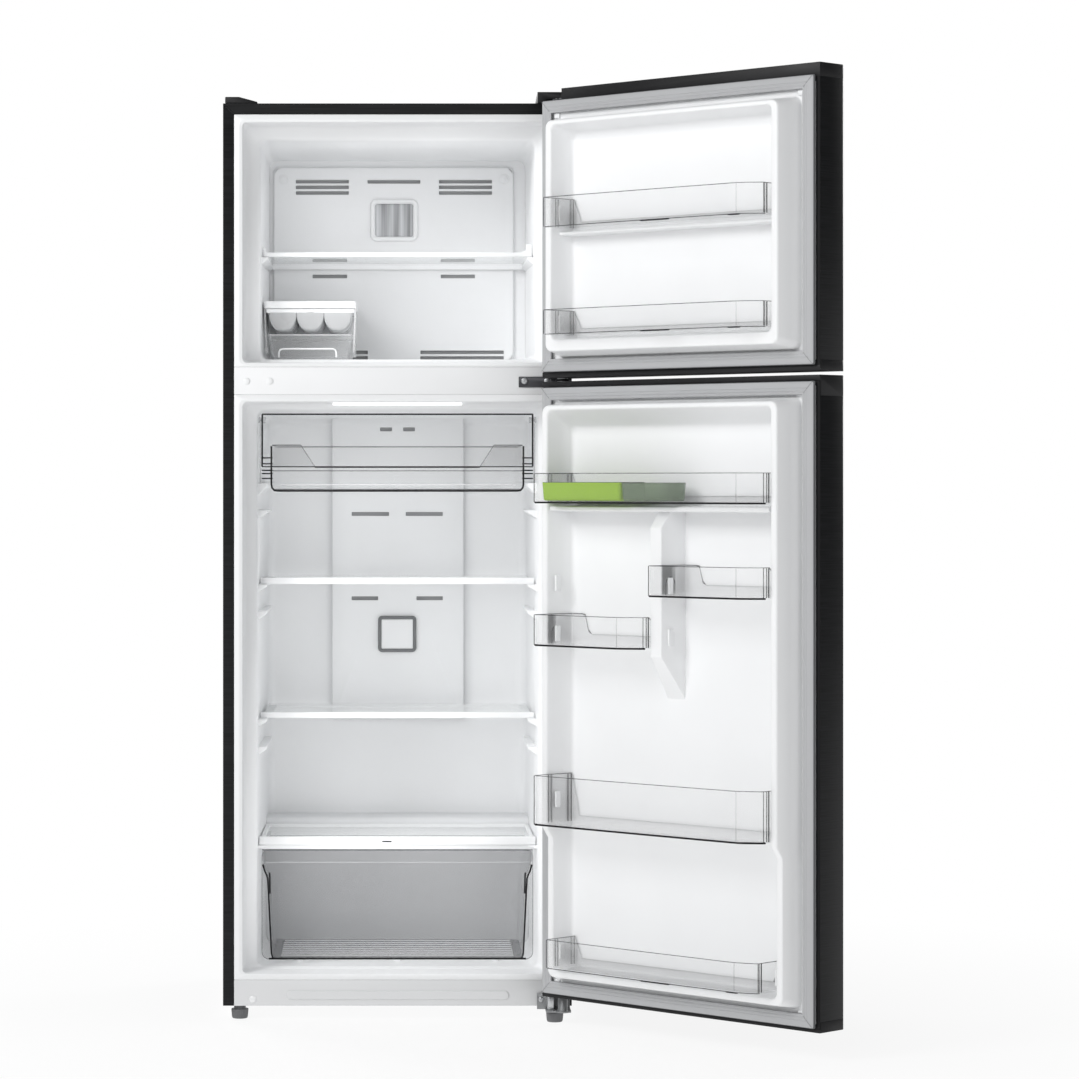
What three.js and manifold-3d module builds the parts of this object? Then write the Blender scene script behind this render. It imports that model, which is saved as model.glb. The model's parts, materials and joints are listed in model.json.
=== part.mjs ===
// A top freezer refrigerator with both doors swung open, in millimetres.
// It is built about the cabinet: X to the right, Y into the cabinet from its front face and
// Z up from the floor. The last step moves the whole assembly so that the middle of its
// footprint is the origin.
import * as THREE from "three";
import { mergeVertices } from "three/addons/utils/BufferGeometryUtils.js";
import Module from "manifold-3d";

const wasm = await Module();
wasm.setup();

// ---- driving dimensions ----
const GAP = 0.3; // running gap between pieces that touch
const SHEET = 0.8; // painted steel sheet
const LINER = 2.5; // vacuum formed liner wall
const CORNER_STEPS = 4; // facets in each rounded corner

const HALF_WIDTH = 350;
const DEPTH = 620;
const CASE_LOW = 27.5;
const CASE_TOP = 1838.5;
const FLANGE = 22; // front return of the steel case

const OPENING_HALF = 310.3;
const OPENING_RADIUS = 10;
const FLARE_DEPTH = 52; // the opening is nearly straight this far in, then steps inwards
const STEP_DEPTH = 66;

const FREEZER = { low: 1318.3, top: 1800.6, half: 277, back: 520, floor: 1327, ceiling: 1768 };
const FRIDGE = { low: 91.9, top: 1239.7, half: 284, back: 545, floor: 98, ceiling: 1223 };
const HUMP = { front: 430, top: 366 }; // step in the fridge floor over the compressor

const PIN = { x: 329.4, y: -50, radius: 6 }; // door hinge axis
const DOOR_SWING = (135 * Math.PI) / 180;
const DOOR_INNER = -13; // inner plane of a closed door
const DOOR_THICKNESS = 75;
const DOOR_OUTER = DOOR_INNER - DOOR_THICKNESS;
const UPPER_DOOR = { low: 1285.4, top: 1858.3 };
const LOWER_DOOR = { low: 55.7, top: 1277.9 };

const SHELF_FRONT = 150;
const SHELF_BACK = 498;
const BIN_WALL = 2.5;

// ---- looks ----
const CHARCOAL = { color: 0x26272a, roughness: 0.45, metalness: 0.7 };
const WHITE = { color: 0xf1f3f4, roughness: 0.4, metalness: 0 };
const GREY = { color: 0xc4c6c8, roughness: 0.7, metalness: 0 };
const BLACK = { color: 0x1b1b1d, roughness: 0.5, metalness: 0 };
const STEEL = { color: 0x9a9da0, roughness: 0.35, metalness: 1 };
const ZINC = { color: 0x6f7275, roughness: 0.4, metalness: 1 };
const GLASS = { color: 0xdfe8ea, roughness: 0.05, metalness: 0, transparent: true, opacity: 0.4 };
const SMOKE = { color: 0x9fa3a6, roughness: 0.1, metalness: 0, transparent: true, opacity: 0.5 };
const GREEN = { color: 0x9bbf2e, roughness: 0.4, metalness: 0 };
const FOOT_GREY = { color: 0x8b8d8f, roughness: 0.6, metalness: 0 };
const COPPER = { color: 0xa56a43, roughness: 0.35, metalness: 1 };

const refrigerator = new THREE.Group();
refrigerator.name = "top_freezer_refrigerator";
const cabinet = new THREE.Group();
const upperDoor = new THREE.Group();
const lowerDoor = new THREE.Group();
refrigerator.add(cabinet, upperDoor, lowerDoor);

// ---- solids ----
function toSolid(geometry) {
  const bare = new THREE.BufferGeometry();
  bare.setAttribute("position", geometry.getAttribute("position"));
  bare.setIndex(geometry.getIndex());
  const merged = mergeVertices(bare, 1e-4);
  const vertProperties = new Float32Array(merged.getAttribute("position").array);
  const triVerts = new Uint32Array(merged.getIndex().array);
  return new wasm.Manifold(new wasm.Mesh({ numProp: 3, vertProperties, triVerts }));
}

function toGeometry(solid) {
  const mesh = solid.getMesh();
  const geometry = new THREE.BufferGeometry();
  const positions = new Float32Array(mesh.vertProperties);
  geometry.setAttribute("position", new THREE.BufferAttribute(positions, 3));
  geometry.setIndex(new THREE.BufferAttribute(new Uint32Array(mesh.triVerts), 1));
  return geometry;
}

function join(solids) {
  return solids.reduce((whole, solid) => whole.add(solid));
}

function cut(solid, tools) {
  return tools.reduce((rest, tool) => rest.subtract(tool), solid);
}

// A box given by its [low, high] span on each axis.
function block({ x, y, z }) {
  const geometry = new THREE.BoxGeometry(x[1] - x[0], y[1] - y[0], z[1] - z[0]);
  geometry.translate((x[0] + x[1]) / 2, (y[0] + y[1]) / 2, (z[0] + z[1]) / 2);
  return toSolid(geometry);
}

// A closed skin through rings of equal point count, capped at both ends; rings are convex.
function loft(rings) {
  const count = rings[0].length;
  const points = rings.flat();
  const triangles = [];
  for (let ring = 0; ring + 1 < rings.length; ring += 1) {
    for (let step = 0; step < count; step += 1) {
      const next = (step + 1) % count;
      const low = ring * count;
      const high = low + count;
      triangles.push([low + step, low + next, high + next]);
      triangles.push([low + step, high + next, high + step]);
    }
  }
  const last = (rings.length - 1) * count;
  for (let step = 1; step + 1 < count; step += 1) {
    triangles.push([0, step + 1, step]);
    triangles.push([last, last + step, last + step + 1]);
  }
  const volume = triangles.reduce((sum, [a, b, c]) => {
    const normal = new THREE.Vector3().crossVectors(points[b], points[c]);
    return sum + points[a].dot(normal);
  }, 0);
  const index = triangles.flatMap(([a, b, c]) => (volume > 0 ? [a, b, c] : [a, c, b]));
  const geometry = new THREE.BufferGeometry();
  const positions = new Float32Array(points.flatMap((p) => [p.x, p.y, p.z]));
  geometry.setAttribute("position", new THREE.BufferAttribute(positions, 3));
  geometry.setIndex(index);
  return toSolid(geometry);
}

// Corners of a rounded rectangle, counter-clockwise; a radius of 0 gives one sharp point.
function roundedCorners([uLow, uHigh], [vLow, vHigh], radii) {
  const corners = [
    { u: uHigh, v: vHigh, su: -1, sv: -1, radius: radii[0] },
    { u: uLow, v: vHigh, su: 1, sv: -1, radius: radii[1] },
    { u: uLow, v: vLow, su: 1, sv: 1, radius: radii[2] },
    { u: uHigh, v: vLow, su: -1, sv: 1, radius: radii[3] },
  ];
  const points = [];
  corners.forEach((corner, turn) => {
    const steps = corner.radius > 0 ? CORNER_STEPS : 0;
    for (let step = 0; step <= steps; step += 1) {
      const part = steps > 0 ? step / steps : 0;
      const angle = ((turn + part) * Math.PI) / 2;
      const u = corner.u + corner.radius * (corner.su + Math.cos(angle));
      const v = corner.v + corner.radius * (corner.sv + Math.sin(angle));
      points.push(corner.radius > 0 ? [u, v] : [corner.u, corner.v]);
    }
  });
  return points;
}

// A rounded rectangle facing the front, at depth y.
function frontRing({ x, z, r }, y) {
  const corners = roundedCorners(x, z, [r, r, r, r]);
  return corners.map(([u, v]) => new THREE.Vector3(u, y, v));
}

// A rounded rectangle seen from above, at height z.
function planRing({ x, y, radii }, z) {
  return roundedCorners(x, y, radii).map(([u, v]) => new THREE.Vector3(u, v, z));
}

// A convex outline carried from one place to another along an axis.
function prism(outline, place, from, to) {
  return loft([outline.map((p) => place(p, from)), outline.map((p) => place(p, to))]);
}

const alongY = ([x, z], y) => new THREE.Vector3(x, y, z);
const alongX = ([y, z], x) => new THREE.Vector3(x, y, z);
const alongZ = ([x, y], z) => new THREE.Vector3(x, y, z);

// A round bar about an axis through a centre; span is its [low, high] on that axis.
function rod(axis, centre, radius, span, segments = 20, topRadius = radius) {
  const length = span[1] - span[0];
  const geometry = new THREE.CylinderGeometry(topRadius, radius, length, segments);
  geometry.translate(0, (span[0] + span[1]) / 2, 0);
  if (axis === "x") {
    geometry.rotateZ(-Math.PI / 2);
  }
  if (axis === "z") {
    geometry.rotateX(Math.PI / 2);
  }
  geometry.translate(centre.x || 0, centre.y || 0, centre.z || 0);
  return toSolid(geometry);
}

function addNode(name, solid, look, group = cabinet) {
  const geometry = toGeometry(solid);
  geometry.computeVertexNormals();
  const mesh = new THREE.Mesh(geometry, new THREE.MeshStandardMaterial(look));
  mesh.name = name;
  mesh.position.copy(group.userData.shift || new THREE.Vector3());
  group.add(mesh);
}

function grow([low, high], by) {
  return [low - by, high + by];
}

function symmetric(half) {
  return [-half, half];
}

// ---- steel case ----
function addCase() {
  const inner = HALF_WIDTH - SHEET;
  const flangeInner = HALF_WIDTH - FLANGE;
  for (const side of [-1, 1]) {
    const sheet = block({
      x: side > 0 ? [inner, HALF_WIDTH] : [-HALF_WIDTH, -inner],
      y: [0, DEPTH],
      z: [CASE_LOW, CASE_TOP],
    });
    const outline = [
      [flangeInner, CASE_LOW],
      [HALF_WIDTH, CASE_LOW],
      [HALF_WIDTH, CASE_TOP],
      [flangeInner, CASE_TOP - FLANGE],
    ].map(([x, z]) => [x * side, z]);
    const flange = prism(outline, alongY, 0, SHEET);
    const name = side > 0 ? "side_panel_right" : "side_panel_left";
    addNode(name, sheet.add(flange), CHARCOAL);
  }
  const reach = inner - GAP;
  const mitre = GAP * 2;
  const topOutline = [
    [-reach, CASE_TOP],
    [-reach, CASE_TOP - (HALF_WIDTH - reach) + mitre],
    [-flangeInner + mitre, CASE_TOP - FLANGE],
    [flangeInner - mitre, CASE_TOP - FLANGE],
    [reach, CASE_TOP - (HALF_WIDTH - reach) + mitre],
    [reach, CASE_TOP],
  ];
  const sheet = block({ x: symmetric(reach), y: [0, DEPTH], z: [CASE_TOP - SHEET, CASE_TOP] });
  addNode("top_panel", sheet.add(prism(topOutline, alongY, 0, SHEET)), CHARCOAL);
}

const MACHINE_TOP = 319;
const PAN_HEIGHT = 30;
const ROLLER = { radius: 14, half: 10, x: 250, y: 560, axle: 4, stub: 6 };

function addBack() {
  const x = symmetric(HALF_WIDTH - SHEET - 2 * GAP);
  const y = [DEPTH - 2.6, DEPTH - 1.6];
  addNode("rear_panel", block({ x, y, z: [MACHINE_TOP + GAP, CASE_TOP - SHEET - GAP] }), GREY);
  const louvres = [];
  const louvreRows = 7;
  for (let row = 0; row < louvreRows; row += 1) {
    for (const side of [-1, 0, 1]) {
      const middle = side * 200;
      const low = 90 + row * 26;
      louvres.push(block({ x: grow([middle, middle], 75), y: grow(y, 1), z: [low, low + 9] }));
    }
  }
  const cover = block({ x, y, z: [PAN_HEIGHT + 10, MACHINE_TOP] });
  addNode("machine_cover", cut(cover, louvres), GREY);
}

// The floor of the cabinet: apron, deck, turned-up sides and the ears that hold the rollers.
function addBasePan() {
  const sheet = 1.5;
  const reach = HALF_WIDTH - SHEET - GAP;
  const apronHalf = HALF_WIDTH - FLANGE - GAP;
  const apronTop = 79.1;
  const deckBack = DEPTH - 4;
  const parts = [
    block({ x: symmetric(reach), y: [sheet, deckBack], z: [PAN_HEIGHT, PAN_HEIGHT + sheet] }),
    block({ x: symmetric(apronHalf), y: [0, sheet + GAP], z: [CASE_LOW, apronTop] }),
    block({ x: [-219, 220], y: [-2.5, 1], z: [42, 55.7] }),
  ];
  for (const side of [-1, 1]) {
    const wall = [reach - sheet, reach].map((x) => x * side).sort((a, b) => a - b);
    parts.push(block({ x: wall, y: [sheet, deckBack], z: [PAN_HEIGHT, apronTop - 20] }));
    for (const face of [-1, 1]) {
      const near = ROLLER.x * side + face * (ROLLER.half + 1);
      const far = near + face * 4;
      parts.push(
        block({
          x: [Math.min(near, far), Math.max(near, far)],
          y: grow([ROLLER.y, ROLLER.y], 9),
          z: [5, PAN_HEIGHT + 1],
        }),
      );
    }
  }
  const holes = [-1, 1].map((side) => {
    const span = grow([ROLLER.x * side, ROLLER.x * side], 20);
    return rod("x", { y: ROLLER.y, z: ROLLER.radius }, ROLLER.axle + 0.25, span);
  });
  holes.push(rod("z", LEFT_FOOT, FOOT.stem + 0.3, [CASE_LOW, PAN_HEIGHT + 5]));
  addNode("base_pan", cut(join(parts), holes), WHITE);
  for (const side of [-1, 1]) {
    const middle = ROLLER.x * side;
    const centre = { y: ROLLER.y, z: ROLLER.radius };
    const wheel = rod("x", centre, ROLLER.radius, grow([middle, middle], ROLLER.half), 32);
    const axle = rod("x", centre, ROLLER.axle, grow([middle, middle], ROLLER.half + ROLLER.stub));
    addNode(side > 0 ? "roller_right" : "roller_left", wheel.add(axle), BLACK);
  }
}

// ---- feet ----
const FOOT = { radius: 17.5, toe: 15.5, pad: 18, collar: 12, stem: 5 };
const LEFT_FOOT = { x: -317, y: 23 };
const RIGHT_FOOT = { x: 314.6, y: -27 };
const RIGHT_SEAT = 21.5; // underside of the bottom hinge plate that the right foot lifts

function addFoot(name, centre, seat, stemTop) {
  const base = rod("z", centre, FOOT.toe, [0, FOOT.pad], 24, FOOT.radius);
  const collar = rod("z", centre, FOOT.collar, [FOOT.pad - 1, seat - GAP], 24);
  const stem = rod("z", centre, FOOT.stem, [FOOT.pad, stemTop]);
  addNode(name, join([base, collar, stem]), FOOT_GREY);
}

// ---- liners ----
// The inside of a compartment, grown by a wall on every side except the open front.
function cavity(room, by) {
  const ring = (half, low, high, radius, y) =>
    frontRing({ x: symmetric(half + by), z: [low - by, high + by], r: radius + by }, y);
  return loft([
    ring(OPENING_HALF, room.low, room.top, OPENING_RADIUS, by > 0 ? 0 : -1),
    ring(OPENING_HALF - 4, room.low + 3, room.top - 4, OPENING_RADIUS, FLARE_DEPTH),
    ring(room.half, room.floor, room.ceiling, OPENING_RADIUS + 4, STEP_DEPTH),
    ring(room.half - 6, room.floor + 1, room.ceiling - 8, OPENING_RADIUS + 4, room.back - 20),
    ring(room.half - 22, room.floor + 12, room.ceiling - 24, OPENING_RADIUS + 4, room.back + by),
  ]);
}

function linerFlange(low, high) {
  const x = symmetric(HALF_WIDTH - FLANGE - GAP);
  return block({ x, y: [0, 2], z: [low, high] });
}

// A ledge on both side walls: flat on top, sloping back to the wall below.
function wallLedges(half, tip, top, drop, y) {
  return [-1, 1].map((side) => {
    const outline = [
      [half * side, top],
      [tip * side, top],
      [tip * side, top - drop / 3],
      [half * side, top - drop],
    ];
    return prism(outline, alongY, y[0], y[1]);
  });
}

const MULLION = { low: 1254.3, high: 1309.1 };
const APRON_TOP = 79.1;
const LAMP = { x: 130, y: [18, 36], z: [1233.4, 1237] };
const FRIDGE_LEDGES = [
  { top: 1076.4, drop: 26 },
  { top: 1021, drop: 17 },
  { top: 869.6, drop: 15 },
  { top: 816, drop: 19 },
  { top: 595.2, drop: 15 },
  { top: 540, drop: 18 },
  { top: 339.4, drop: 8 },
];

function addLiners() {
  const freezer = cavity(FREEZER, LINER).add(linerFlange(MULLION.high + GAP, CASE_TOP - FLANGE - GAP));
  const freezerLedges = [
    ...wallLedges(FREEZER.half + 1, FREEZER.half - 14, 1536.5, 16, [112, 420]),
  ];
  const freezerShell = join([freezer.subtract(cavity(FREEZER, 0)), ...freezerLedges]);
  addNode("freezer_liner", freezerShell, WHITE);

  const away = 600;
  const x = symmetric(away);
  const humpOutside = block({
    x,
    y: [HUMP.front + LINER, away],
    z: [0, HUMP.top - LINER],
  });
  const humpInside = block({ x, y: [HUMP.front, away], z: [0, HUMP.top] });
  const outside = cavity(FRIDGE, LINER).subtract(humpOutside);
  const inside = cavity(FRIDGE, 0).subtract(humpInside);
  const flanged = outside.add(linerFlange(APRON_TOP + GAP, MULLION.low - GAP));
  const ledges = FRIDGE_LEDGES.flatMap(({ top, drop }) =>
    wallLedges(FRIDGE.half + 1, FRIDGE.half - 18, top, drop, [112, 415]),
  );
  const runners = [-200, 0, 200].map((middle) =>
    block({ x: grow([middle, middle], 6), y: [100, 420], z: [FRIDGE.floor - 1, CRISPER.low - GAP] }),
  );
  const shell = join([flanged.subtract(inside), ...ledges, ...runners]);
  const lampSeat = block({
    x: symmetric(LAMP.x + GAP),
    y: grow(LAMP.y, GAP),
    z: [LAMP.z[0], LAMP.z[1] + GAP],
  });
  addNode("fridge_liner", shell.subtract(lampSeat), WHITE);
  const plateX = symmetric(HALF_WIDTH - FLANGE - GAP);
  addNode("mullion_plate", block({ x: plateX, y: [0, 1.5], z: [MULLION.low, MULLION.high] }), WHITE);
  addNode("led_lamp", block({ x: symmetric(LAMP.x), y: LAMP.y, z: LAMP.z }), WHITE);
}

// ---- freezer fittings ----
const COVER_FRONT = 430;
const COVER = { x: [-264, 248], z: [1334, 1748.5] };
const FAN = { x: -8, z: 1640, radius: 52 };
const SLOT_HEIGHT = 7.5;

function slot(xSpan, top, y) {
  return block({ x: xSpan, y, z: [top - SLOT_HEIGHT, top] });
}

function addFreezerFittings() {
  const wall = 2.5;
  const back = FREEZER.back - GAP;
  const ring = (by, y) =>
    frontRing({ x: grow(COVER.x, by), z: grow(COVER.z, by), r: 14 + by }, y);
  const shell = loft([ring(-3, COVER_FRONT), ring(0, COVER_FRONT + 5), ring(0, back - 24)]);
  const hollow = loft([ring(-wall, COVER_FRONT + wall), ring(-wall, back)]);
  const flange = { x: symmetric(270.5), z: [1329.5, 1757], r: 12 };
  const border = loft([frontRing(flange, COVER_FRONT + 11), frontRing(flange, COVER_FRONT + 14)]);
  const through = [COVER_FRONT - 1, COVER_FRONT + 5];
  const slots = [];
  for (const top of [1720.2, 1708.4, 1696.3]) {
    slots.push(slot([-216, -103.3], top, through));
    slots.push(slot([88.4, 201], top, through));
  }
  slots.push(slot([-63.5, 48.7], 1720.2, through));
  for (const top of [1552.5, 1517.6]) {
    slots.push(slot([-180.4, -107.1], top, through));
    slots.push(slot([92.2, 164.9], top, through));
  }
  for (const top of [1358, 1346]) {
    slots.push(slot([-95, -63], top, through));
    slots.push(slot([48.7, 226], top, through));
  }
  addNode("evaporator_cover", cut(shell.add(border), [hollow, ...slots]), WHITE);

  const badge = { x: [-57.4, 43.8], z: [1589.6, 1678.8] };
  const badgeRing = (by, y) => frontRing({ x: grow(badge.x, by), z: grow(badge.z, by), r: 12 + by }, y);
  const plate = loft([badgeRing(-4, COVER_FRONT - 7), badgeRing(0, COVER_FRONT - 4)]);
  addNode(
    "badge_plate",
    plate.add(loft([badgeRing(0, COVER_FRONT - 4), badgeRing(0, COVER_FRONT - GAP)])),
    STEEL,
  );

  const fins = [];
  const finCount = 8;
  for (let fin = 0; fin < finCount; fin += 1) {
    const x = -200 + fin * 55;
    fins.push(block({ x: [x, x + 1.5], y: [452, 492], z: [1370, 1530] }));
  }
  for (let row = 0; row < 3; row += 1) {
    const centre = { y: 472, z: 1400 + row * 50 };
    fins.push(rod("x", centre, 5, [-212, 198], 8));
  }
  addNode("evaporator", join(fins), STEEL);

  const motorBack = FREEZER.back - GAP;
  const axis = { x: FAN.x, z: FAN.z };
  const motor = join([
    rod("y", axis, 24, [472, 500]),
    rod("y", axis, 2.5, [458, 474], 16),
    block({ x: grow([FAN.x, FAN.x], 8), y: [498, motorBack], z: grow([FAN.z, FAN.z], 40) }),
  ]);
  addNode("fan_motor", motor, BLACK);
  const hub = rod("y", axis, 13, [452, 468]);
  const blades = [hub];
  const bladeCount = 5;
  for (let blade = 0; blade < bladeCount; blade += 1) {
    const geometry = new THREE.BoxGeometry(24, 2, FAN.radius - 8);
    geometry.rotateZ(0.5);
    geometry.translate(0, 0, 8 + (FAN.radius - 8) / 2);
    geometry.rotateY((blade / bladeCount) * 2 * Math.PI);
    geometry.translate(FAN.x, 460, FAN.z);
    blades.push(toSolid(geometry));
  }
  const bore = rod("y", axis, 2.8, [456, 480], 16);
  addNode("fan_blade", join(blades).subtract(bore), BLACK);
}

function addFreezerShelf() {
  const front = { x: symmetric(273.5), y: [112, 118], z: [1538.5, 1546.5] };
  const plate = { x: symmetric(271), y: [117, 424], z: [1537, 1541.5] };
  const rear = { x: symmetric(268), y: [420.6, 426], z: [1529, 1541.5] };
  addNode("freezer_shelf", join([block(front), block(plate), block(rear)]), GLASS);
}

const ICE = { x: [-271.8, -84], y: [112, 400], top: 1447.3, rim: 1432.4 };

function addIceMaker() {
  const wall = 3;
  const foot = FREEZER.floor + 13;
  const outer = block({ x: ICE.x, y: ICE.y, z: [foot, ICE.top] });
  const inner = block({
    x: grow(ICE.x, -wall),
    y: grow(ICE.y, 1),
    z: [foot - 1, ICE.rim],
  });
  const ledges = [-1, 1].flatMap((side) => {
    const edge = side < 0 ? ICE.x[0] + 1 : ICE.x[1] - 1;
    const tip = edge - side * 7;
    const x = [Math.min(edge, tip), Math.max(edge, tip)];
    return [block({ x, y: ICE.y, z: [1419, 1422] })];
  });
  addNode("ice_frame", join([outer.subtract(inner), ...ledges]), WHITE);

  const tray = { x: grow(ICE.x, -10), y: [117, 392] };
  const lobes = 3;
  const lobeWidth = (tray.x[1] - tray.x[0]) / lobes;
  const rim = { x: grow(ICE.x, -wall - 1), y: tray.y, z: [1422.3, 1427] };
  const body = [block(rim)];
  const hollows = [];
  for (let lobe = 0; lobe < lobes; lobe += 1) {
    const middle = tray.x[0] + (lobe + 0.5) * lobeWidth;
    const outline = [
      [middle - lobeWidth / 2 + 2, 1423],
      [middle - lobeWidth / 3, 1396],
      [middle - lobeWidth / 6, 1387],
      [middle + lobeWidth / 6, 1387],
      [middle + lobeWidth / 3, 1396],
      [middle + lobeWidth / 2 - 2, 1423],
    ];
    body.push(prism(outline, alongY, tray.y[0], tray.y[1]));
    const mouth = { x: grow([middle, middle], lobeWidth / 2 - 4), y: grow(tray.y, -3) };
    const floor = { x: grow([middle, middle], lobeWidth / 6), y: grow(tray.y, -11) };
    const corners = [4, 4, 4, 4];
    const trough = [planRing({ ...floor, radii: corners }, 1391)];
    trough.push(planRing({ ...mouth, radii: corners }, 1428));
    hollows.push(loft(trough));
  }
  addNode("ice_tray", cut(join(body), hollows), WHITE);

  const box = { x: grow(ICE.x, -wall - 4), y: [114, 396] };
  const radii = [8, 8, 8, 8];
  const shell = loft([
    planRing({ x: grow(box.x, -10), y: grow(box.y, -8), radii }, FREEZER.floor + 4),
    planRing({ ...box, radii }, 1380),
  ]);
  const room = loft([
    planRing({ x: grow(box.x, -13), y: grow(box.y, -11), radii }, FREEZER.floor + 7),
    planRing({ x: grow(box.x, -2.5), y: grow(box.y, -2.5), radii }, 1381),
  ]);
  addNode("ice_bin", shell.subtract(room), GLASS);
}

// ---- fridge fittings ----
const DUCT = { x: [-140, 142], z: [570, 1198.4], front: 518 };

function addDuct() {
  const back = FRIDGE.back - GAP;
  const shell = block({ x: DUCT.x, y: [DUCT.front, back], z: DUCT.z });
  const hollow = block({
    x: grow(DUCT.x, -2.5),
    y: [DUCT.front + 2.5, back + 1],
    z: grow(DUCT.z, -2.5),
  });
  const through = [DUCT.front - 1, DUCT.front + 4];
  const slots = [
    slot([-37.3, -11.6], 1195.9, through),
    slot([12.4, 37.7], 1195.9, through),
    slot([-98.3, -18], 1014.3, through),
    slot([18, 97.6], 1014.3, through),
    slot([-98.3, -41.5], 834, through),
    slot([41.1, 97.6], 834, through),
  ];
  addNode("duct_cover", cut(shell.subtract(hollow), slots), WHITE);
  const frame = { x: [-40.2, 40.8], z: [715, 790.9] };
  const ring = (by, y) => frontRing({ x: grow(frame.x, by), z: grow(frame.z, by), r: 8 + by }, y);
  const filter = loft([ring(-2, DUCT.front - 9), ring(0, DUCT.front - 7), ring(0, DUCT.front - GAP)]);
  const recess = loft([ring(-6, DUCT.front - 10), ring(-6, DUCT.front - 7)]);
  addNode("filter_cassette", filter.subtract(recess), GREY);
}

// A glass shelf: a plastic frame with a raised front bar and a loose pane that lies on it.
function addShelf(name, low, high, y) {
  const half = FRIDGE.half - 4;
  const seat = low + 6;
  const bar = block({ x: symmetric(half), y: [y[0], y[0] + 12], z: [low, high] });
  const backHalf = half - 5;
  const ring = block({ x: symmetric(backHalf), y: [y[0] + 11, y[1]], z: [low, seat] });
  const window = block({
    x: symmetric(backHalf - 17),
    y: [y[0] + 14, y[1] - 12],
    z: [low - 1, seat + 1],
  });
  addNode(name + "_frame", bar.add(ring.subtract(window)), WHITE);
  const pane = block({
    x: symmetric(backHalf),
    y: [y[0] + 12 + GAP, y[1]],
    z: [seat + GAP, seat + GAP + 4],
  });
  return pane;
}

const CRISPER = { low: 106, top: 330, half: 277, y: [112, 420] };
const CRISPER_COVER = { low: 339.8, high: 356.7, y: [105, 426] };
const SLIDER = { x: [-34, 34], y: 96.6, z: [343.5, 351] };

function addFridgeFittings() {
  addNode("shelf_upper_glass", addShelf("shelf_upper", 869.9, 882.6, [SHELF_FRONT, SHELF_BACK]), GLASS);
  addNode("shelf_lower_glass", addShelf("shelf_lower", 595.5, 607, [SHELF_FRONT, SHELF_BACK]), GLASS);

  const half = FRIDGE.half - 2.5;
  const cover = CRISPER_COVER;
  const bar = block({ x: symmetric(half), y: [cover.y[0], cover.y[0] + 14], z: [cover.low, cover.high] });
  const plate = block({ x: symmetric(half - 3), y: [cover.y[0] + 13, cover.y[1]], z: [346, 352] });
  addNode("crisper_cover", bar.add(plate), GLASS);
  const knob = block({
    x: [SLIDER.x[0], SLIDER.x[1]],
    y: [cover.y[0] - 4, cover.y[0] - GAP],
    z: SLIDER.z,
  });
  const nub = block({ x: [-5, 5], y: [cover.y[0] - 7, cover.y[0] - 3], z: SLIDER.z });
  addNode("humidity_slider", knob.add(nub), BLACK);

  const radii = [10, 10, 10, 10];
  const ring = (inset, by, z) => {
    const x = symmetric(CRISPER.half - inset - by);
    const y = [CRISPER.y[0] + (by > 0 ? by : 1), CRISPER.y[1] - inset / 2 - by];
    return planRing({ x, y, radii }, z);
  };
  const shell = loft([
    ring(26, 0, CRISPER.low),
    ring(21, 0, CRISPER.low + 12),
    ring(13, 0, 274),
    ring(3, 0, 299),
    ring(0, 0, CRISPER.top),
  ]);
  const room = loft([
    ring(28, BIN_WALL, CRISPER.low + 3),
    ring(23, BIN_WALL, CRISPER.low + 14),
    ring(13, BIN_WALL, 274),
    ring(3, BIN_WALL, 299),
    ring(0, BIN_WALL, CRISPER.top + 1),
  ]);
  const front = { x: symmetric(CRISPER.half), z: [CRISPER.low, CRISPER.top], r: 8 };
  const face = loft([frontRing(front, CRISPER.y[0]), frontRing(front, CRISPER.y[0] + BIN_WALL)]);
  addNode("crisper_drawer", shell.subtract(room).add(face), SMOKE);
}

const CHILLER = { half: 256, y: [118, 468], low: 1059.6, dip: 1109, wall: 1155 };
const FLAP = { half: 277, low: 1108, high: 1218, y: [112, 115], pivot: { y: 118, z: 1205 } };

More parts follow.
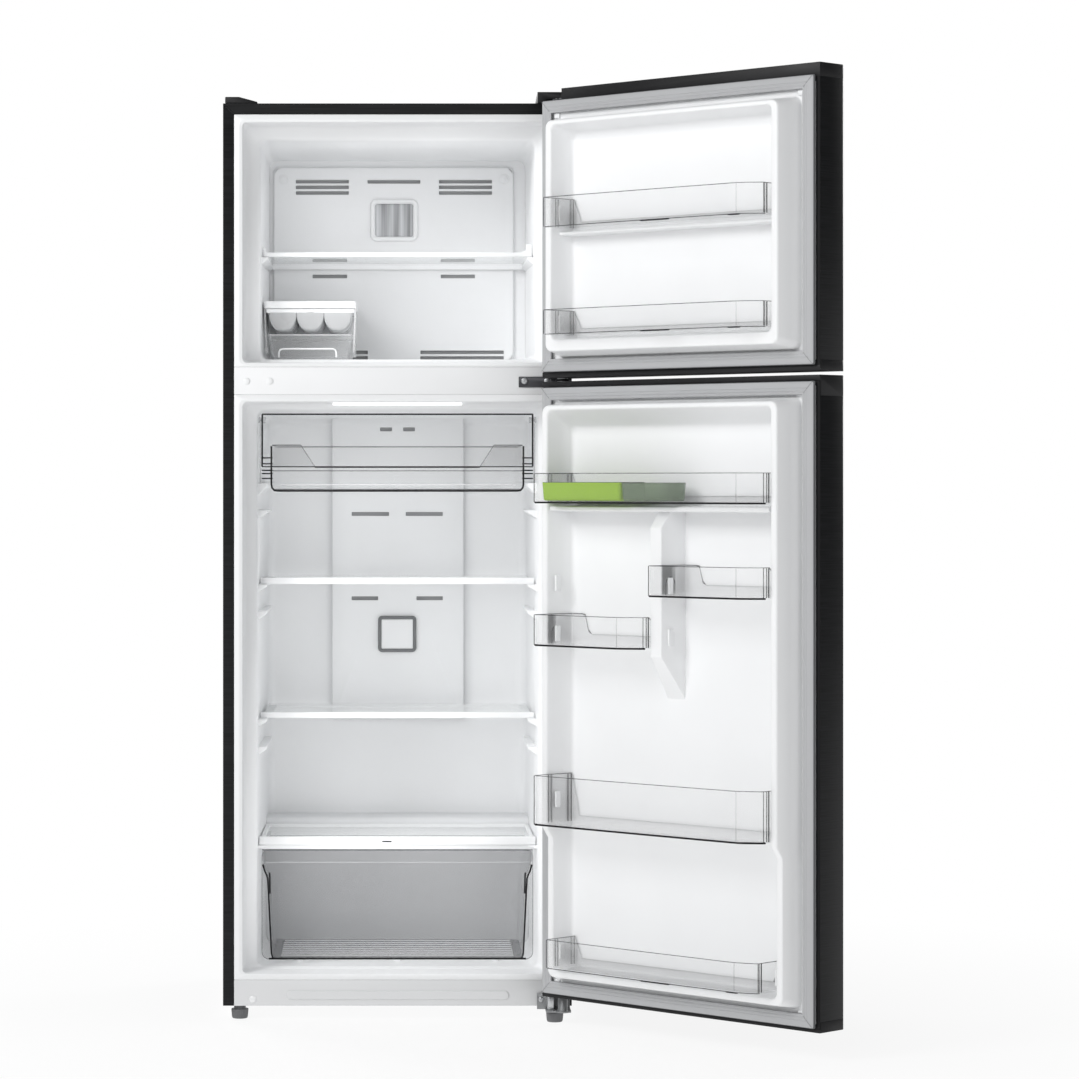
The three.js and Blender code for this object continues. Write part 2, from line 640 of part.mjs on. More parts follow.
// A shallow tray that rides on the side ledges and carries the pivots of its own flap.
function addChiller() {
  const radii = [12, 12, 12, 12];
  const ring = (by, z) =>
    planRing({ x: symmetric(CHILLER.half - by), y: grow(CHILLER.y, -by), radii }, z);
  const shell = loft([ring(6, CHILLER.low), ring(0, CHILLER.low + 8), ring(0, CHILLER.wall)]);
  const room = loft([
    ring(6 + BIN_WALL, CHILLER.low + 3),
    ring(BIN_WALL, CHILLER.low + 10),
    ring(BIN_WALL, CHILLER.wall + 1),
  ]);
  const mouth = [
    [-197, CHILLER.wall + 1],
    [-168, CHILLER.dip],
    [168, CHILLER.dip],
    [197, CHILLER.wall + 1],
  ];
  const dip = prism(mouth, alongY, CHILLER.y[0] - 1, CHILLER.y[1] - 20);
  const parts = [cut(shell, [room, dip])];
  const armInner = FLAP.half + 1;
  const armOuter = FLAP.half + 4;
  for (const side of [-1, 1]) {
    const span = (a, b) => [a * side, b * side].sort((p, q) => p - q);
    const runner = block({ x: span(CHILLER.half - 2, FLAP.half), y: [130, 452], z: [1077, 1080] });
    const elbow = block({ x: span(CHILLER.half - 2, armOuter), y: [120, 134], z: [1077, 1080] });
    const arm = block({ x: span(armInner, armOuter), y: [112, 134], z: [1077, 1212] });
    parts.push(runner, elbow, arm);
  }
  const pivot = { y: FLAP.pivot.y, z: FLAP.pivot.z };
  const bore = rod("x", pivot, 3.3, symmetric(armOuter + 1), 16);
  addNode("chiller_tray", join(parts).subtract(bore), SMOKE);

  const pane = block({ x: symmetric(FLAP.half), y: FLAP.y, z: [FLAP.low, FLAP.high] });
  const lugs = [-1, 1].map((side) => {
    const x = [FLAP.half - 6, FLAP.half].map((p) => p * side).sort((p, q) => p - q);
    return block({ x, y: [FLAP.y[0], FLAP.y[0] + 11], z: grow([FLAP.pivot.z, FLAP.pivot.z], 6) });
  });
  const pins = [-1, 1].map((side) => {
    const x = [FLAP.half - 2, FLAP.half + 3.6].map((p) => p * side).sort((p, q) => p - q);
    return rod("x", pivot, 3, x, 16);
  });
  addNode("chiller_flap", join([pane, ...lugs, ...pins]), GLASS);
}

// ---- machine compartment ----
function addMachine() {
  const centre = { x: 190, y: 548 };
  const shell = join([
    rod("z", centre, 50, [46, 60], 28, 60),
    rod("z", centre, 60, [59, 150], 28),
    rod("z", centre, 60, [149, 184], 28, 34),
    block({ x: [110, 270], y: [500, 596], z: [PAN_HEIGHT + 2, 47] }),
  ]);
  addNode("compressor", shell, BLACK);

  const runs = 6;
  const points = [];
  for (let run = 0; run < runs; run += 1) {
    const z = 70 + run * 32;
    const ends = run % 2 === 0 ? [-290, 60] : [60, -290];
    points.push(new THREE.Vector3(ends[0], 540, z));
    points.push(new THREE.Vector3(ends[1], 540, z));
  }
  const path = new THREE.CurvePath();
  for (let n = 0; n + 1 < points.length; n += 1) {
    path.add(new THREE.LineCurve3(points[n], points[n + 1]));
  }
  const tubes = points.slice(1).map((point, n) => {
    const previous = points[n];
    if (Math.abs(previous.z - point.z) < 1) {
      const x = [Math.min(previous.x, point.x) - 3, Math.max(previous.x, point.x) + 3];
      return rod("x", { y: 540, z: point.z }, 4, x, 8);
    }
    return rod("z", { x: point.x, y: 540 }, 4, [previous.z, point.z], 8);
  });
  const stays = [-230, -115, 0].map((x) =>
    block({ x: [x, x + 2], y: [534, 546], z: [PAN_HEIGHT + 2, 250] }),
  );
  addNode("condenser", join([...tubes, ...stays]), COPPER);
}

// ---- hinges and caps ----
function addHinges() {
  const pin = (span) => rod("z", PIN, PIN.radius, span, 24);
  const nose = (z) => rod("z", PIN, 14, z, 24);

  const topPlate = [CASE_TOP + GAP, CASE_TOP + GAP + 4];
  addNode(
    "top_hinge",
    join([
      block({ x: [310, 346], y: [-50, 78], z: topPlate }),
      nose(topPlate),
      pin([1824, topPlate[0] + 1]),
    ]),
    ZINC,
  );
  const coverShell = prism(
    [
      [-8, CASE_TOP + GAP],
      [-8, 1860],
      [6, 1862],
      [104, 1852],
      [112, CASE_TOP + GAP],
    ],
    alongX,
    281,
    349,
  );
  const coverHollow = block({ x: [300, 347], y: [-9, 90], z: [CASE_TOP, topPlate[1] + 3] });
  addNode("top_hinge_cover", coverShell.subtract(coverHollow), BLACK);
  const cap = prism(
    [
      [-346, CASE_TOP + GAP],
      [-346, 1852],
      [-318, 1852],
      [-281, 1842],
      [-281, CASE_TOP + GAP],
    ],
    alongY,
    3,
    70,
  );
  addNode("top_left_cap", cap, BLACK);

  const middle = [1279.6, 1283.7];
  addNode(
    "middle_hinge",
    join([
      block({ x: [243.4, 346], y: [-2.8, -GAP], z: [1268.5, 1290] }),
      block({ x: [306, 346], y: [-50, -1], z: middle }),
      nose(middle),
      pin([1265, 1298]),
    ]),
    ZINC,
  );

  const bottom = [RIGHT_SEAT, RIGHT_SEAT + 4];
  const seatHole = rod("z", RIGHT_FOOT, FOOT.stem + 0.3, [bottom[0] - 1, bottom[1] + 1]);
  addNode(
    "bottom_hinge",
    join([
      block({ x: [280, 346], y: [-5.5, -2.5 - GAP], z: [RIGHT_SEAT, 53.6] }),
      block({ x: [296, 346], y: [-56, -3], z: bottom }),
      nose(bottom),
      rod("z", PIN, 10, [bottom[0], 53.6], 24),
      pin([50, 69]),
    ]).subtract(seatHole),
    ZINC,
  );
}

// ---- doors, modelled closed; each one's group turns about the hinge pin to swing it open ----
function swingOpen(door) {
  door.position.set(PIN.x, PIN.y, 0);
  door.rotation.z = DOOR_SWING;
  door.userData.shift = new THREE.Vector3(-PIN.x, -PIN.y, 0);
}

const DOOR_X = symmetric(HALF_WIDTH);
const DOOR_EDGE_RADIUS = 8;

function doorPlan(by, yBack, z) {
  const radii = [0, 0, DOOR_EDGE_RADIUS - by, DOOR_EDGE_RADIUS - by];
  const x = grow(DOOR_X, -by);
  return planRing({ x, y: [DOOR_OUTER + by, yBack], radii }, z);
}

function doorSkin(low, high) {
  const outer = loft([doorPlan(0, DOOR_INNER - GAP, low), doorPlan(0, DOOR_INNER - GAP, high)]);
  const inner = loft([doorPlan(SHEET, 0, low - 1), doorPlan(SHEET, 0, high + 1)]);
  return outer.subtract(inner);
}

// An end cap is a hollow tray that opens towards the door's core; face is its outer end.
// It is full thickness near its face, and its skirt stops short behind the door liner.
function doorCap(face, sign, height, skirt) {
  const wall = 3;
  const level = (h) => face + sign * h;
  const full = loft([doorPlan(0, DOOR_INNER, level(0)), doorPlan(0, DOOR_INNER, level(height))]);
  const behind = DOOR_INNER - LINER - GAP;
  const deep = loft([doorPlan(0, behind, level(height - 1)), doorPlan(0, behind, level(skirt))]);
  const whole = skirt > height ? full.add(deep) : full;
  const core = block({
    x: grow(DOOR_X, -wall),
    y: [DOOR_OUTER + wall, DOOR_INNER - wall],
    z: [level(wall), level(Math.max(skirt, height) + 1)].sort((a, b) => a - b),
  });
  const bore = rod("z", PIN, PIN.radius + 0.4, [face - 6, face + 6], 24);
  return cut(whole, [core, bore]);
}

// A finger recess pressed into the front of a cap.
function withGrip(cap, low, high) {
  const x = [-330, -60];
  const pocket = block({ x: grow(x, 3), y: [DOOR_OUTER + 2, DOOR_OUTER + 27], z: [low - 3, high + 3] });
  const recess = block({ x, y: [DOOR_OUTER - 1, DOOR_OUTER + 24], z: [low, high] });
  return cap.add(pocket).subtract(recess);
}

// What is taken off the lower end of a ridge to make its crest shallower there. The crest
// slopes up to its full depth between the two heights in z.
function ridgeStep({ top, drop, z, foot }, by) {
  const level = top - drop - by;
  const outline = [
    [level, foot],
    [level, z[0] + by],
    [top + 1, z[1] + 2 * by],
    [top + 1, foot],
  ];
  return prism(outline, alongX, -HALF_WIDTH, HALF_WIDTH);
}

// A ridge that runs round the door liner and plugs the cabinet opening when the door shuts.
function doorRidge(ridge) {
  const top = DOOR_INNER + ridge.height;
  const ring = (name, by, y) => {
    const { half, low, high } = ridge[name];
    return frontRing({ x: symmetric(half + by), z: grow([low, high], by), r: 12 }, y);
  };
  const outside = loft([
    ring("outerBase", 0, DOOR_INNER - 1),
    ring("outerBase", 0, DOOR_INNER),
    ring("outerCrest", 0, top),
  ]);
  const inside = loft([ring("innerBase", 0, DOOR_INNER), ring("innerCrest", 0, top + 0.01)]);
  const hollowOutside = loft([
    ring("outerBase", -LINER, DOOR_INNER - 4),
    ring("outerBase", -LINER, DOOR_INNER),
    ring("outerCrest", -LINER, top - LINER),
  ]);
  const hollowInside = loft([
    ring("innerBase", LINER, DOOR_INNER - 5),
    ring("innerBase", LINER, DOOR_INNER),
    ring("innerCrest", LINER, top),
  ]);
  const hollow = hollowOutside.subtract(hollowInside);
  if (!ridge.step) {
    return { outside, inside, hollow };
  }
  const step = { top, ...ridge.step };
  return {
    outside: outside.subtract(ridgeStep(step, 0)),
    inside,
    hollow: hollow.subtract(ridgeStep(step, LINER)),
  };
}

function doorLiner(low, high, ridge, extras) {
  const x = symmetric(HALF_WIDTH - SHEET - GAP);
  const plate = block({ x, y: [DOOR_INNER - LINER, DOOR_INNER], z: [low, high] });
  const { outside, inside, hollow } = doorRidge(ridge);
  const solid = plate.add(outside.subtract(inside)).subtract(hollow);
  return join([solid, ...extras]);
}

function gasket(low, high) {
  const half = 343;
  const band = 26;
  const ring = (by, y) => frontRing({ x: symmetric(half - by), z: grow([low, high], -by), r: 6 }, y);
  const back = DOOR_INNER + GAP;
  const face = -0.4;
  const neck = -7;
  const head = loft([ring(0, neck), ring(9.5, face)]).subtract(
    loft([ring(band, neck - 1), ring(band, face + 1)]),
  );
  const foot = loft([ring(6, back), ring(6, neck + 1)]).subtract(
    loft([ring(band - 6, back - 1), ring(band - 6, neck + 2)]),
  );
  return head.add(foot);
}

// An open bin. Its back fits between the ridge's sloping walls, its front corner is square at
// the hinge end and cut away at the free end, and its rear wall is low between two tall ends.
function doorBin({ back, front, reach, z, crest, tallEnd = 12 }) {
  const lowWall = 18;
  const yBack = DOOR_INNER + 0.6;
  const yFront = DOOR_INNER + reach;
  const cutWide = 38;
  const cutDeep = Math.min(28, yFront - crest - 12);
  const ring = (by, level) => {
    const lip = by * 0.41;
    const points = [
      [front[1] - by, crest],
      [front[1] - by, yFront - 8],
      [front[1] - by - 4, yFront - 4 - by],
      [(front[0] + front[1]) / 2, yFront - by],
      [front[0] + cutWide + lip, yFront - by],
      [front[0] + cutWide / 2 + by * 0.7, yFront - cutDeep * 0.4 - by * 0.7],
      [front[0] + by, yFront - cutDeep - lip],
      [front[0] + by, crest],
      [back[0] + by, yBack + by],
      [back[1] - by, yBack + by],
    ];
    return points.map(([x, y]) => new THREE.Vector3(x, y, level));
  };
  const shell = loft([ring(3, z[0]), ring(0, z[0] + 6), ring(0, z[1])]);
  const room = loft([ring(3 + BIN_WALL, z[0] + 3), ring(BIN_WALL, z[0] + 8), ring(BIN_WALL, z[1] + 1)]);
  const window = block({
    x: [back[0] + 12, back[1] - tallEnd],
    y: [yBack - 1, yBack + 8],
    z: [z[0] + lowWall, z[1] + 1],
  });
  return cut(shell, [room, window]);
}

const CAP_FACE = 11; // height of a cap on the door's inner face
const GRIP_CAP = 39;

function addUpperDoor() {
  const { low, top } = UPPER_DOOR;
  const capTop = 26;
  const skin = doorSkin(low + 20 + GAP, top - capTop - GAP);
  addNode("upper_door_skin", skin, CHARCOAL, upperDoor);
  const notchX = [299, HALF_WIDTH + 1];
  const notchFloor = CASE_TOP - 2.5;
  const notchWall = {
    x: [notchX[0] - 3, HALF_WIDTH],
    y: [DOOR_OUTER + 8, DOOR_INNER],
    z: [notchFloor - 3, top],
  };
  const notch = { x: notchX, y: [DOOR_OUTER - 1, DOOR_INNER + 1], z: [notchFloor, top + 1] };
  const bore = rod("z", PIN, PIN.radius + 0.4, [notchFloor - 4, notchFloor + 1], 24);
  const cap = doorCap(top, -1, capTop, 0).add(block(notchWall));
  addNode("upper_door_top_cap", cut(cap, [block(notch), bore]), BLACK, upperDoor);
  addNode("upper_door_bottom_cap", doorCap(low, 1, CAP_FACE, 20), BLACK, upperDoor);

  const ridge = {
    height: 55,
    outerBase: { half: 307, low: 1326, high: 1796 },
    outerCrest: { half: 293, low: 1335, high: 1790 },
    innerBase: { half: 268, low: 1364, high: 1770 },
    innerCrest: { half: 278, low: 1358, high: 1781 },
  };
  const ledge = block({ x: symmetric(272), y: [DOOR_INNER - 1, 22], z: [1562, 1572] });
  const linerLow = low + CAP_FACE + GAP;
  const liner = doorLiner(linerLow, top - capTop - GAP, ridge, [ledge]);
  addNode("upper_door_liner", liner, WHITE, upperDoor);
  addNode("upper_door_gasket", gasket(1296.4, 1835.3), GREY, upperDoor);
  const shape = { back: symmetric(264), front: [-272, 264], reach: 97, crest: 44 };
  addNode("upper_door_bin_high", doorBin({ ...shape, z: [1576, 1636] }), SMOKE, upperDoor);
  addNode("upper_door_bin_low", doorBin({ ...shape, z: [1366, 1416] }), SMOKE, upperDoor);
}

const EGG_TRAY = { x: [58, 264], y: [8, 86], z: [1042, 1078] };
const SMALL_TRAY = { x: [-55, 57.7], y: [10, 84], z: [1042, 1077] };

// A small open tub that stands in the top bin of the lower door.
function doorTub({ x, y, z }, radii) {
  const ring = (by, level) => planRing({ x: grow(x, -by), y: grow(y, -by), radii }, level);
  const shell = loft([ring(2, z[0]), ring(0, z[1])]);
  const room = loft([ring(2 + BIN_WALL, z[0] + 3), ring(BIN_WALL, z[1] + 1)]);
  return shell.subtract(room);
}

function addLowerDoor() {
  const { low, top } = LOWER_DOOR;
  const skin = doorSkin(low + 20 + GAP, top - GRIP_CAP - GAP);
  addNode("lower_door_skin", skin, CHARCOAL, lowerDoor);
  const topCap = withGrip(doorCap(top, -1, CAP_FACE, GRIP_CAP), top - 34, top - 9);
  addNode("lower_door_top_cap", topCap, BLACK, lowerDoor);
  addNode("lower_door_bottom_cap", doorCap(low, 1, 7, 20), BLACK, lowerDoor);

  const ridge = {
    height: 61,
    outerBase: { half: 307, low: 97, high: 1236 },
    outerCrest: { half: 296, low: 104, high: 1229 },
    innerBase: { half: 270, low: 124, high: 1190 },
    innerCrest: { half: 282, low: 116, high: 1220 },
    step: { drop: 17, z: [378, 400], foot: 70 },
  };
  const crest = DOOR_INNER + ridge.height;
  const ledge = block({ x: symmetric(274), y: [DOOR_INNER - 1, crest], z: [1022, 1032] });
  const divider = prism(
    [
      [DOOR_INNER - 1, 1023],
      [crest - 27, 1023],
      [crest, 990],
      [crest, 741],
      [DOOR_INNER, 663],
      [DOOR_INNER - 1, 663],
    ],
    alongX,
    -14,
    14,
  );
  const liner = doorLiner(low + 7 + GAP, top - CAP_FACE - GAP, ridge, [ledge, divider]);
  addNode("lower_door_liner", liner, WHITE, lowerDoor);
  addNode("lower_door_gasket", gasket(63.7, 1266.4), GREY, lowerDoor);
  const full = { back: symmetric(269), front: symmetric(280), reach: 107, crest };
  addNode("lower_door_bin_top", doorBin({ ...full, z: [1037, 1096] }), SMOKE, lowerDoor);
  const left = { ...full, back: [-269, -16], front: [-280, -16], tallEnd: 40 };
  addNode("lower_door_bin_half_high", doorBin({ ...left, z: [860, 920] }), SMOKE, lowerDoor);
  const right = { ...full, back: [16, 269], front: [16, 280], tallEnd: 40 };
  addNode("lower_door_bin_half_low", doorBin({ ...right, z: [758, 820] }), SMOKE, lowerDoor);
  addNode("lower_door_bin_tall", doorBin({ ...full, z: [407, 505] }), SMOKE, lowerDoor);
  const shallow = { back: symmetric(262), front: symmetric(262), reach: 91, crest };
  addNode("lower_door_bin_bottom", doorBin({ ...shallow, z: [126, 184] }), SMOKE, lowerDoor);
  addNode("egg_tray", doorTub(EGG_TRAY, [10, 10, 4, 4]), GREEN, lowerDoor);
  addNode("small_tray", doorTub(SMALL_TRAY, [4, 10, 10, 4]), SMOKE, lowerDoor);
}

// ---- assembly ----
swingOpen(upperDoor);
swingOpen(lowerDoor);
addCase();
addBack();
addBasePan();
addFoot("foot_left", LEFT_FOOT, PAN_HEIGHT, 52);
addFoot("foot_right", RIGHT_FOOT, RIGHT_SEAT, RIGHT_SEAT + 9);
addLiners();
addFreezerFittings();
addFreezerShelf();
addIceMaker();
addDuct();
addFridgeFittings();
addChiller();
addMachine();
addHinges();
addUpperDoor();
addLowerDoor();

// The origin goes on the floor below the middle of the assembly.
const bounds = new THREE.Box3().setFromObject(refrigerator, true);
const middle = bounds.getCenter(new THREE.Vector3());
refrigerator.position.set(-middle.x, -middle.y, -bounds.min.z);

export default refrigerator;
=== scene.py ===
import json
from math import copysign, cos, pi, radians, sin

import bmesh
import bpy
from mathutils import Matrix, Vector

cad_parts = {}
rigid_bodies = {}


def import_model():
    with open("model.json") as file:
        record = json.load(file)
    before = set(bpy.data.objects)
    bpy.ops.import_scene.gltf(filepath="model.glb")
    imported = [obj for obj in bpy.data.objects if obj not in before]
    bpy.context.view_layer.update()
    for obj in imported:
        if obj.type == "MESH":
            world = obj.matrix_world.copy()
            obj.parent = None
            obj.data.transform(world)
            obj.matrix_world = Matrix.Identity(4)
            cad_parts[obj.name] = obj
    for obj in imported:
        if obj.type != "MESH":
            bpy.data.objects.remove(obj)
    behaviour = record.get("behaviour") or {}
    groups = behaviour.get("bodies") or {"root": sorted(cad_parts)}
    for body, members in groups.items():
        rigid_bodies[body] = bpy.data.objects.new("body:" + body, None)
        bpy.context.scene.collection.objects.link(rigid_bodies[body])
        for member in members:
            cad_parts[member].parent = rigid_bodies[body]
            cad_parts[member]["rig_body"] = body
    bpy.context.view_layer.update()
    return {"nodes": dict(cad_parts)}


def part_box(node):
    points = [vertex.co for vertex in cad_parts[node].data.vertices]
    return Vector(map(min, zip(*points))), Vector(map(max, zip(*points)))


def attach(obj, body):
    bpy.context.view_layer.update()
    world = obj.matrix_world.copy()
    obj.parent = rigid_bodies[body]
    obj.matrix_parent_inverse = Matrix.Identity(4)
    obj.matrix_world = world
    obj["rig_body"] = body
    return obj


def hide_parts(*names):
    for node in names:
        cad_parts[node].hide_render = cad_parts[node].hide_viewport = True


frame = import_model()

# ---------------------------------------------------------------- frame
# Shapes are written in millimetres about the cabinet: X right, Y into the cabinet from its
# front face, Z up. Door shapes are written for a shut door and then swung open.
MM = 0.001
HALF = 350.0
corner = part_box("side_panel_left")[0]
CABINET = Matrix.Translation((corner.x + HALF * MM, corner.y, 0)) @ Matrix.Scale(MM, 4)
PIN_X, PIN_Y = 329.4, -50.0  # the hinge line both doors turn on
SWING = radians(135)
TO_PIN = Matrix.Translation((PIN_X, PIN_Y, 0))
DOOR = CABINET @ TO_PIN @ Matrix.Rotation(SWING, 4, "Z") @ TO_PIN.inverted()

# ---------------------------------------------------------------- materials


def new_material(name):
    material = bpy.data.materials.new(name)
    material.use_nodes = True
    tree = material.node_tree
    return material, tree, tree.nodes["Principled BSDF"]


def feed(tree, node, values):
    """Sets a node's sockets to numbers, or links them to other nodes' outputs."""
    for key, value in values.items():
        if isinstance(value, bpy.types.NodeSocket):
            tree.links.new(value, node.inputs[key])
        else:
            node.inputs[key].default_value = value


def add_node(tree, kind, values, output):
    node = tree.nodes.new("ShaderNode" + kind)
    feed(tree, node, values)
    return node.outputs[output]


def noise(tree, scale, detail=2.0, rough=0.5, stretch=None):
    place = add_node(tree, "TexCoord", {}, "Object")
    if stretch:
        place = add_node(tree, "Mapping", {"Vector": place, "Scale": stretch}, "Vector")
    values = {"Vector": place, "Scale": scale, "Detail": detail, "Roughness": rough}
    return add_node(tree, "TexNoise", values, "Fac")


def ramp(tree, fac, low, high):
    node = tree.nodes.new("ShaderNodeValToRGB")
    for stop, position, color in zip(node.color_ramp.elements, (0.3, 0.7), (low, high)):
        stop.position = position
        stop.color = (*color, 1)
    feed(tree, node, {"Fac": fac})
    return node.outputs["Color"]


def span(tree, fac, low, high, start=0.3, end=0.7):
    values = {"Value": fac, "From Min": start, "From Max": end, "To Min": low, "To Max": high}
    return add_node(tree, "MapRange", values, "Result")


def bump(tree, height, strength, distance):
    values = {"Strength": strength, "Distance": distance, "Height": height}
    return add_node(tree, "Bump", values, "Normal")


def solid(name, color, rough, metal, vary, grain, relief, strength, specular=0.5, stretch=None):
    """A moulded, painted or metal surface with faint mottling, uneven gloss and grain."""
    material, tree, shader = new_material(name)
    fine = noise(tree, grain, 2.0, 0.6, stretch)
    source = fine if stretch else noise(tree, 7.0, 4.0)
    low = [max(0.0, c * (1 - vary)) for c in color]
    high = [min(1.0, c * (1 + vary)) for c in color]
    feed(tree, shader, {
        "Metallic": metal, "Specular IOR Level": specular,
        "Base Color": ramp(tree, source, low, high),
        "Roughness": span(tree, source, rough * 0.88, min(1.0, rough * 1.14)),
        "Normal": bump(tree, fine, strength, relief)})
    return material


def clear(name, color, thin, thick, rough=0.08):
    """See-through plastic or glass: denser where the eye looks along the wall."""
    material, tree, shader = new_material(name)
    facing = add_node(tree, "LayerWeight", {"Blend": 0.35}, "Facing")
    broad = noise(tree, 9.0, 3.0)
    feed(tree, shader, {
        "Alpha": span(tree, facing, thin, thick, 0.0, 1.0),
        "Base Color": ramp(tree, broad, [c * 0.95 for c in color], color),
        "Roughness": span(tree, broad, rough * 0.7, rough * 1.4),
        "Normal": bump(tree, noise(tree, 260.0), 0.05, 0.0002)})
    return material


# key: name, colour, roughness, metal, mottling, grain, relief, its strength, specular, stretch
SOLIDS = {
    "case": ("case_brushed", (0.0075, 0.0078, 0.0086), 0.42, 0, 0.6, 1.0, 0.0003, 0.5, 0.2,
             (9.0, 9.0, 430.0)),
    "white": ("white_moulded", (0.865, 0.872, 0.88), 0.4, 0, 0.01, 1100, 0.0001, 0.05, 0.35),
    "face": ("white_enamel", (0.84, 0.846, 0.854), 0.34, 0, 0.01, 700, 0.0001, 0.08, 0.35),
    # apron: the white front enamel painted darker, as painted shade on the low front that gets less
    # light from above
    "apron": ("apron_enamel", (0.70, 0.706, 0.713), 0.34, 0, 0.01, 700, 0.0001, 0.08, 0.35),
    "panel": ("white_satin", (0.86, 0.868, 0.876), 0.5, 0, 0.012, 1400, 0.0002, 0.1, 0.35),
    "galvanised": ("galvanised", (0.42, 0.43, 0.44), 0.5, 0.8, 0.06, 60, 0.0002, 0.1),
    "black": ("black_moulded", (0.009, 0.009, 0.010), 0.48, 0, 0.2, 1300, 0.0003, 0.3, 0.3),
    # bellows: the gasket's rubber painted darker, painted shade in the seal's side folds; also its
    # corner joints
    "bellows": ("gasket_bellows", (0.13, 0.133, 0.138), 0.65, 0, 0.06, 500, 0.0003, 0.2, 0.3),
    "gasket": ("gasket_rubber", (0.44, 0.445, 0.455), 0.62, 0, 0.02, 500, 0.0002, 0.12, 0.3),
    "zinc": ("dark_zinc", (0.055, 0.056, 0.06), 0.34, 0.8, 0.25, 160, 0.0002, 0.2),
    "steel": ("bright_zinc", (0.24, 0.245, 0.25), 0.34, 0.85, 0.25, 160, 0.0002, 0.2),
    "screw": ("screw_steel", (0.55, 0.56, 0.57), 0.3, 0.95, 0.15, 220, 0.0002, 0.2),
    "badge": ("brushed_badge", (0.42, 0.428, 0.44), 0.5, 0.55, 0.55, 1.0, 0.0002, 0.25, 0.4,
              (62.0, 2.0, 2.0)),
    "foot": ("foot_plastic", (0.13, 0.132, 0.137), 0.55, 0, 0.1, 700, 0.0003, 0.2),
    "grey": ("grey_moulded", (0.16, 0.165, 0.17), 0.45, 0, 0.06, 800, 0.0002, 0.15),
    "green": ("green_moulded", (0.29, 0.49, 0.002), 0.34, 0, 0.06, 700, 0.0001, 0.08, 0.3),
    "fins": ("mill_aluminium", (0.7, 0.71, 0.72), 0.4, 0.9, 0.12, 200, 0.0002, 0.2),
    "copper": ("copper_pipe", (0.72, 0.33, 0.17), 0.32, 0.95, 0.2, 150, 0.0002, 0.2),
    "enamel": ("black_enamel", (0.015, 0.015, 0.016), 0.3, 0, 0.2, 300, 0.0002, 0.2),
    "shadow": ("slot_shadow", (0.36, 0.365, 0.37), 0.8, 0, 0.1, 600, 0.0002, 0.2, 0.2),
    # dark: near-black lines and small black parts; on the door liners' rims it is painted shade
    "dark": ("dark_line", (0.012, 0.012, 0.013), 0.6, 0, 0.15, 600, 0.0002, 0.2, 0.2),
    "pearl": ("translucent_white", (0.86, 0.868, 0.876), 0.3, 0, 0.015, 500, 0.0001, 0.08),
}
# key: name, colour, opacity seen square on, opacity seen along the wall, roughness
CLEARS = {
    "clear": ("clear_bin", (0.62, 0.63, 0.64), 0.035, 0.2),
    "edge": ("clear_edge", (0.06, 0.062, 0.066), 0.5, 0.9),
    "faint": ("clear_lip", (0.34, 0.345, 0.355), 0.22, 0.5),
    "smoke": ("smoke_drawer", (0.2, 0.204, 0.212), 0.15, 0.38),
    "pane": ("chiller_pane", (0.62, 0.63, 0.64), 0.022, 0.12),
    "rib": ("drawer_rib", (0.85, 0.86, 0.87), 0.3, 0.6),
    "glass": ("shelf_pane", (0.86, 0.90, 0.90), 0.06, 0.3, 0.04),
    "frost": ("frosted_bin", (0.88, 0.89, 0.90), 0.08, 0.35, 0.2),
    "cloud": ("milky_tray", (0.72, 0.73, 0.74), 0.66, 0.9, 0.25),
    "mint": ("grey_green_tub", (0.16, 0.23, 0.13), 0.42, 0.75, 0.15),
}
M = {key: solid(*row) for key, row in SOLIDS.items()}
M.update({key: clear(*row) for key, row in CLEARS.items()})

LAMP_WHITE = (0.98, 0.99, 1.0)
M["lamp"], lamp_tree, lamp_shader = new_material("lamp_diffuser")
lamp_glow = ramp(lamp_tree, noise(lamp_tree, 300.0), [c * 0.97 for c in LAMP_WHITE], LAMP_WHITE)
feed(lamp_tree, lamp_shader,
     {"Base Color": lamp_glow, "Emission Color": lamp_glow, "Emission Strength": 0.9})

# ---------------------------------------------------------------- mesh building
ARC = 8  # steps in each rounded corner


def rounded(xs, ys, radii, steps=ARC):
    """Corner points of a rounded rectangle, counter-clockwise from +x+y."""
    if not isinstance(radii, (list, tuple)):
        radii = [radii] * 4
    (x0, x1), (y0, y1) = xs, ys
    corners = ((x1, y1, -1, -1), (x0, y1, 1, -1), (x0, y0, 1, 1), (x1, y0, -1, 1))
    points = []
    for turn, ((x, y, sx, sy), radius) in enumerate(zip(corners, radii)):
        radius = max(radius, 0.01)
        for step in range(steps + 1):
            angle = (turn + step / steps) * pi / 2
            points.append((x + radius * (sx + cos(angle)), y + radius * (sy + sin(angle))))
    return points


def front_ring(half, z, radius, y):
    """A rounded rectangle that faces the front; half is a half width or an (x0, x1) span."""
    xs = half if isinstance(half, tuple) else (-half, half)
    return [Vector((u, y, v)) for u, v in rounded(xs, z, radius)]


def plan_ring(xs, ys, radii, z):
    return [Vector((u, v, z)) for u, v in rounded(xs, ys, radii)]


def grown(pair, by):
    return (pair[0] - by, pair[1] + by)


def framed(xs, zs, radius, least, steps):
    """Front rings grown from one rectangle; steps are (growth, y) pairs."""
    return [front_ring(grown(xs, by), grown(zs, by), max(radius + by, least), y)
            for by, y in steps]


def sided(side, near, far):
    """The span between two distances from the middle, on one side."""
    return tuple(sorted((side * near, side * far)))


def spun(centre, axis, u, v, height):
    """A point beside the axis through a centre."""
    x, y, z = centre
    if axis == "z":
        return Vector((x + u, y + v, z + height))
    if axis == "y":
        return Vector((x + u, y + height, z - v))
    return Vector((x + height, y + u, z + v))


def round_edges(bm, edges, width, steps):
    bmesh.ops.bevel(bm, geom=edges, offset=width, segments=steps, profile=0.5,
                    affect="EDGES", clamp_overlap=True)


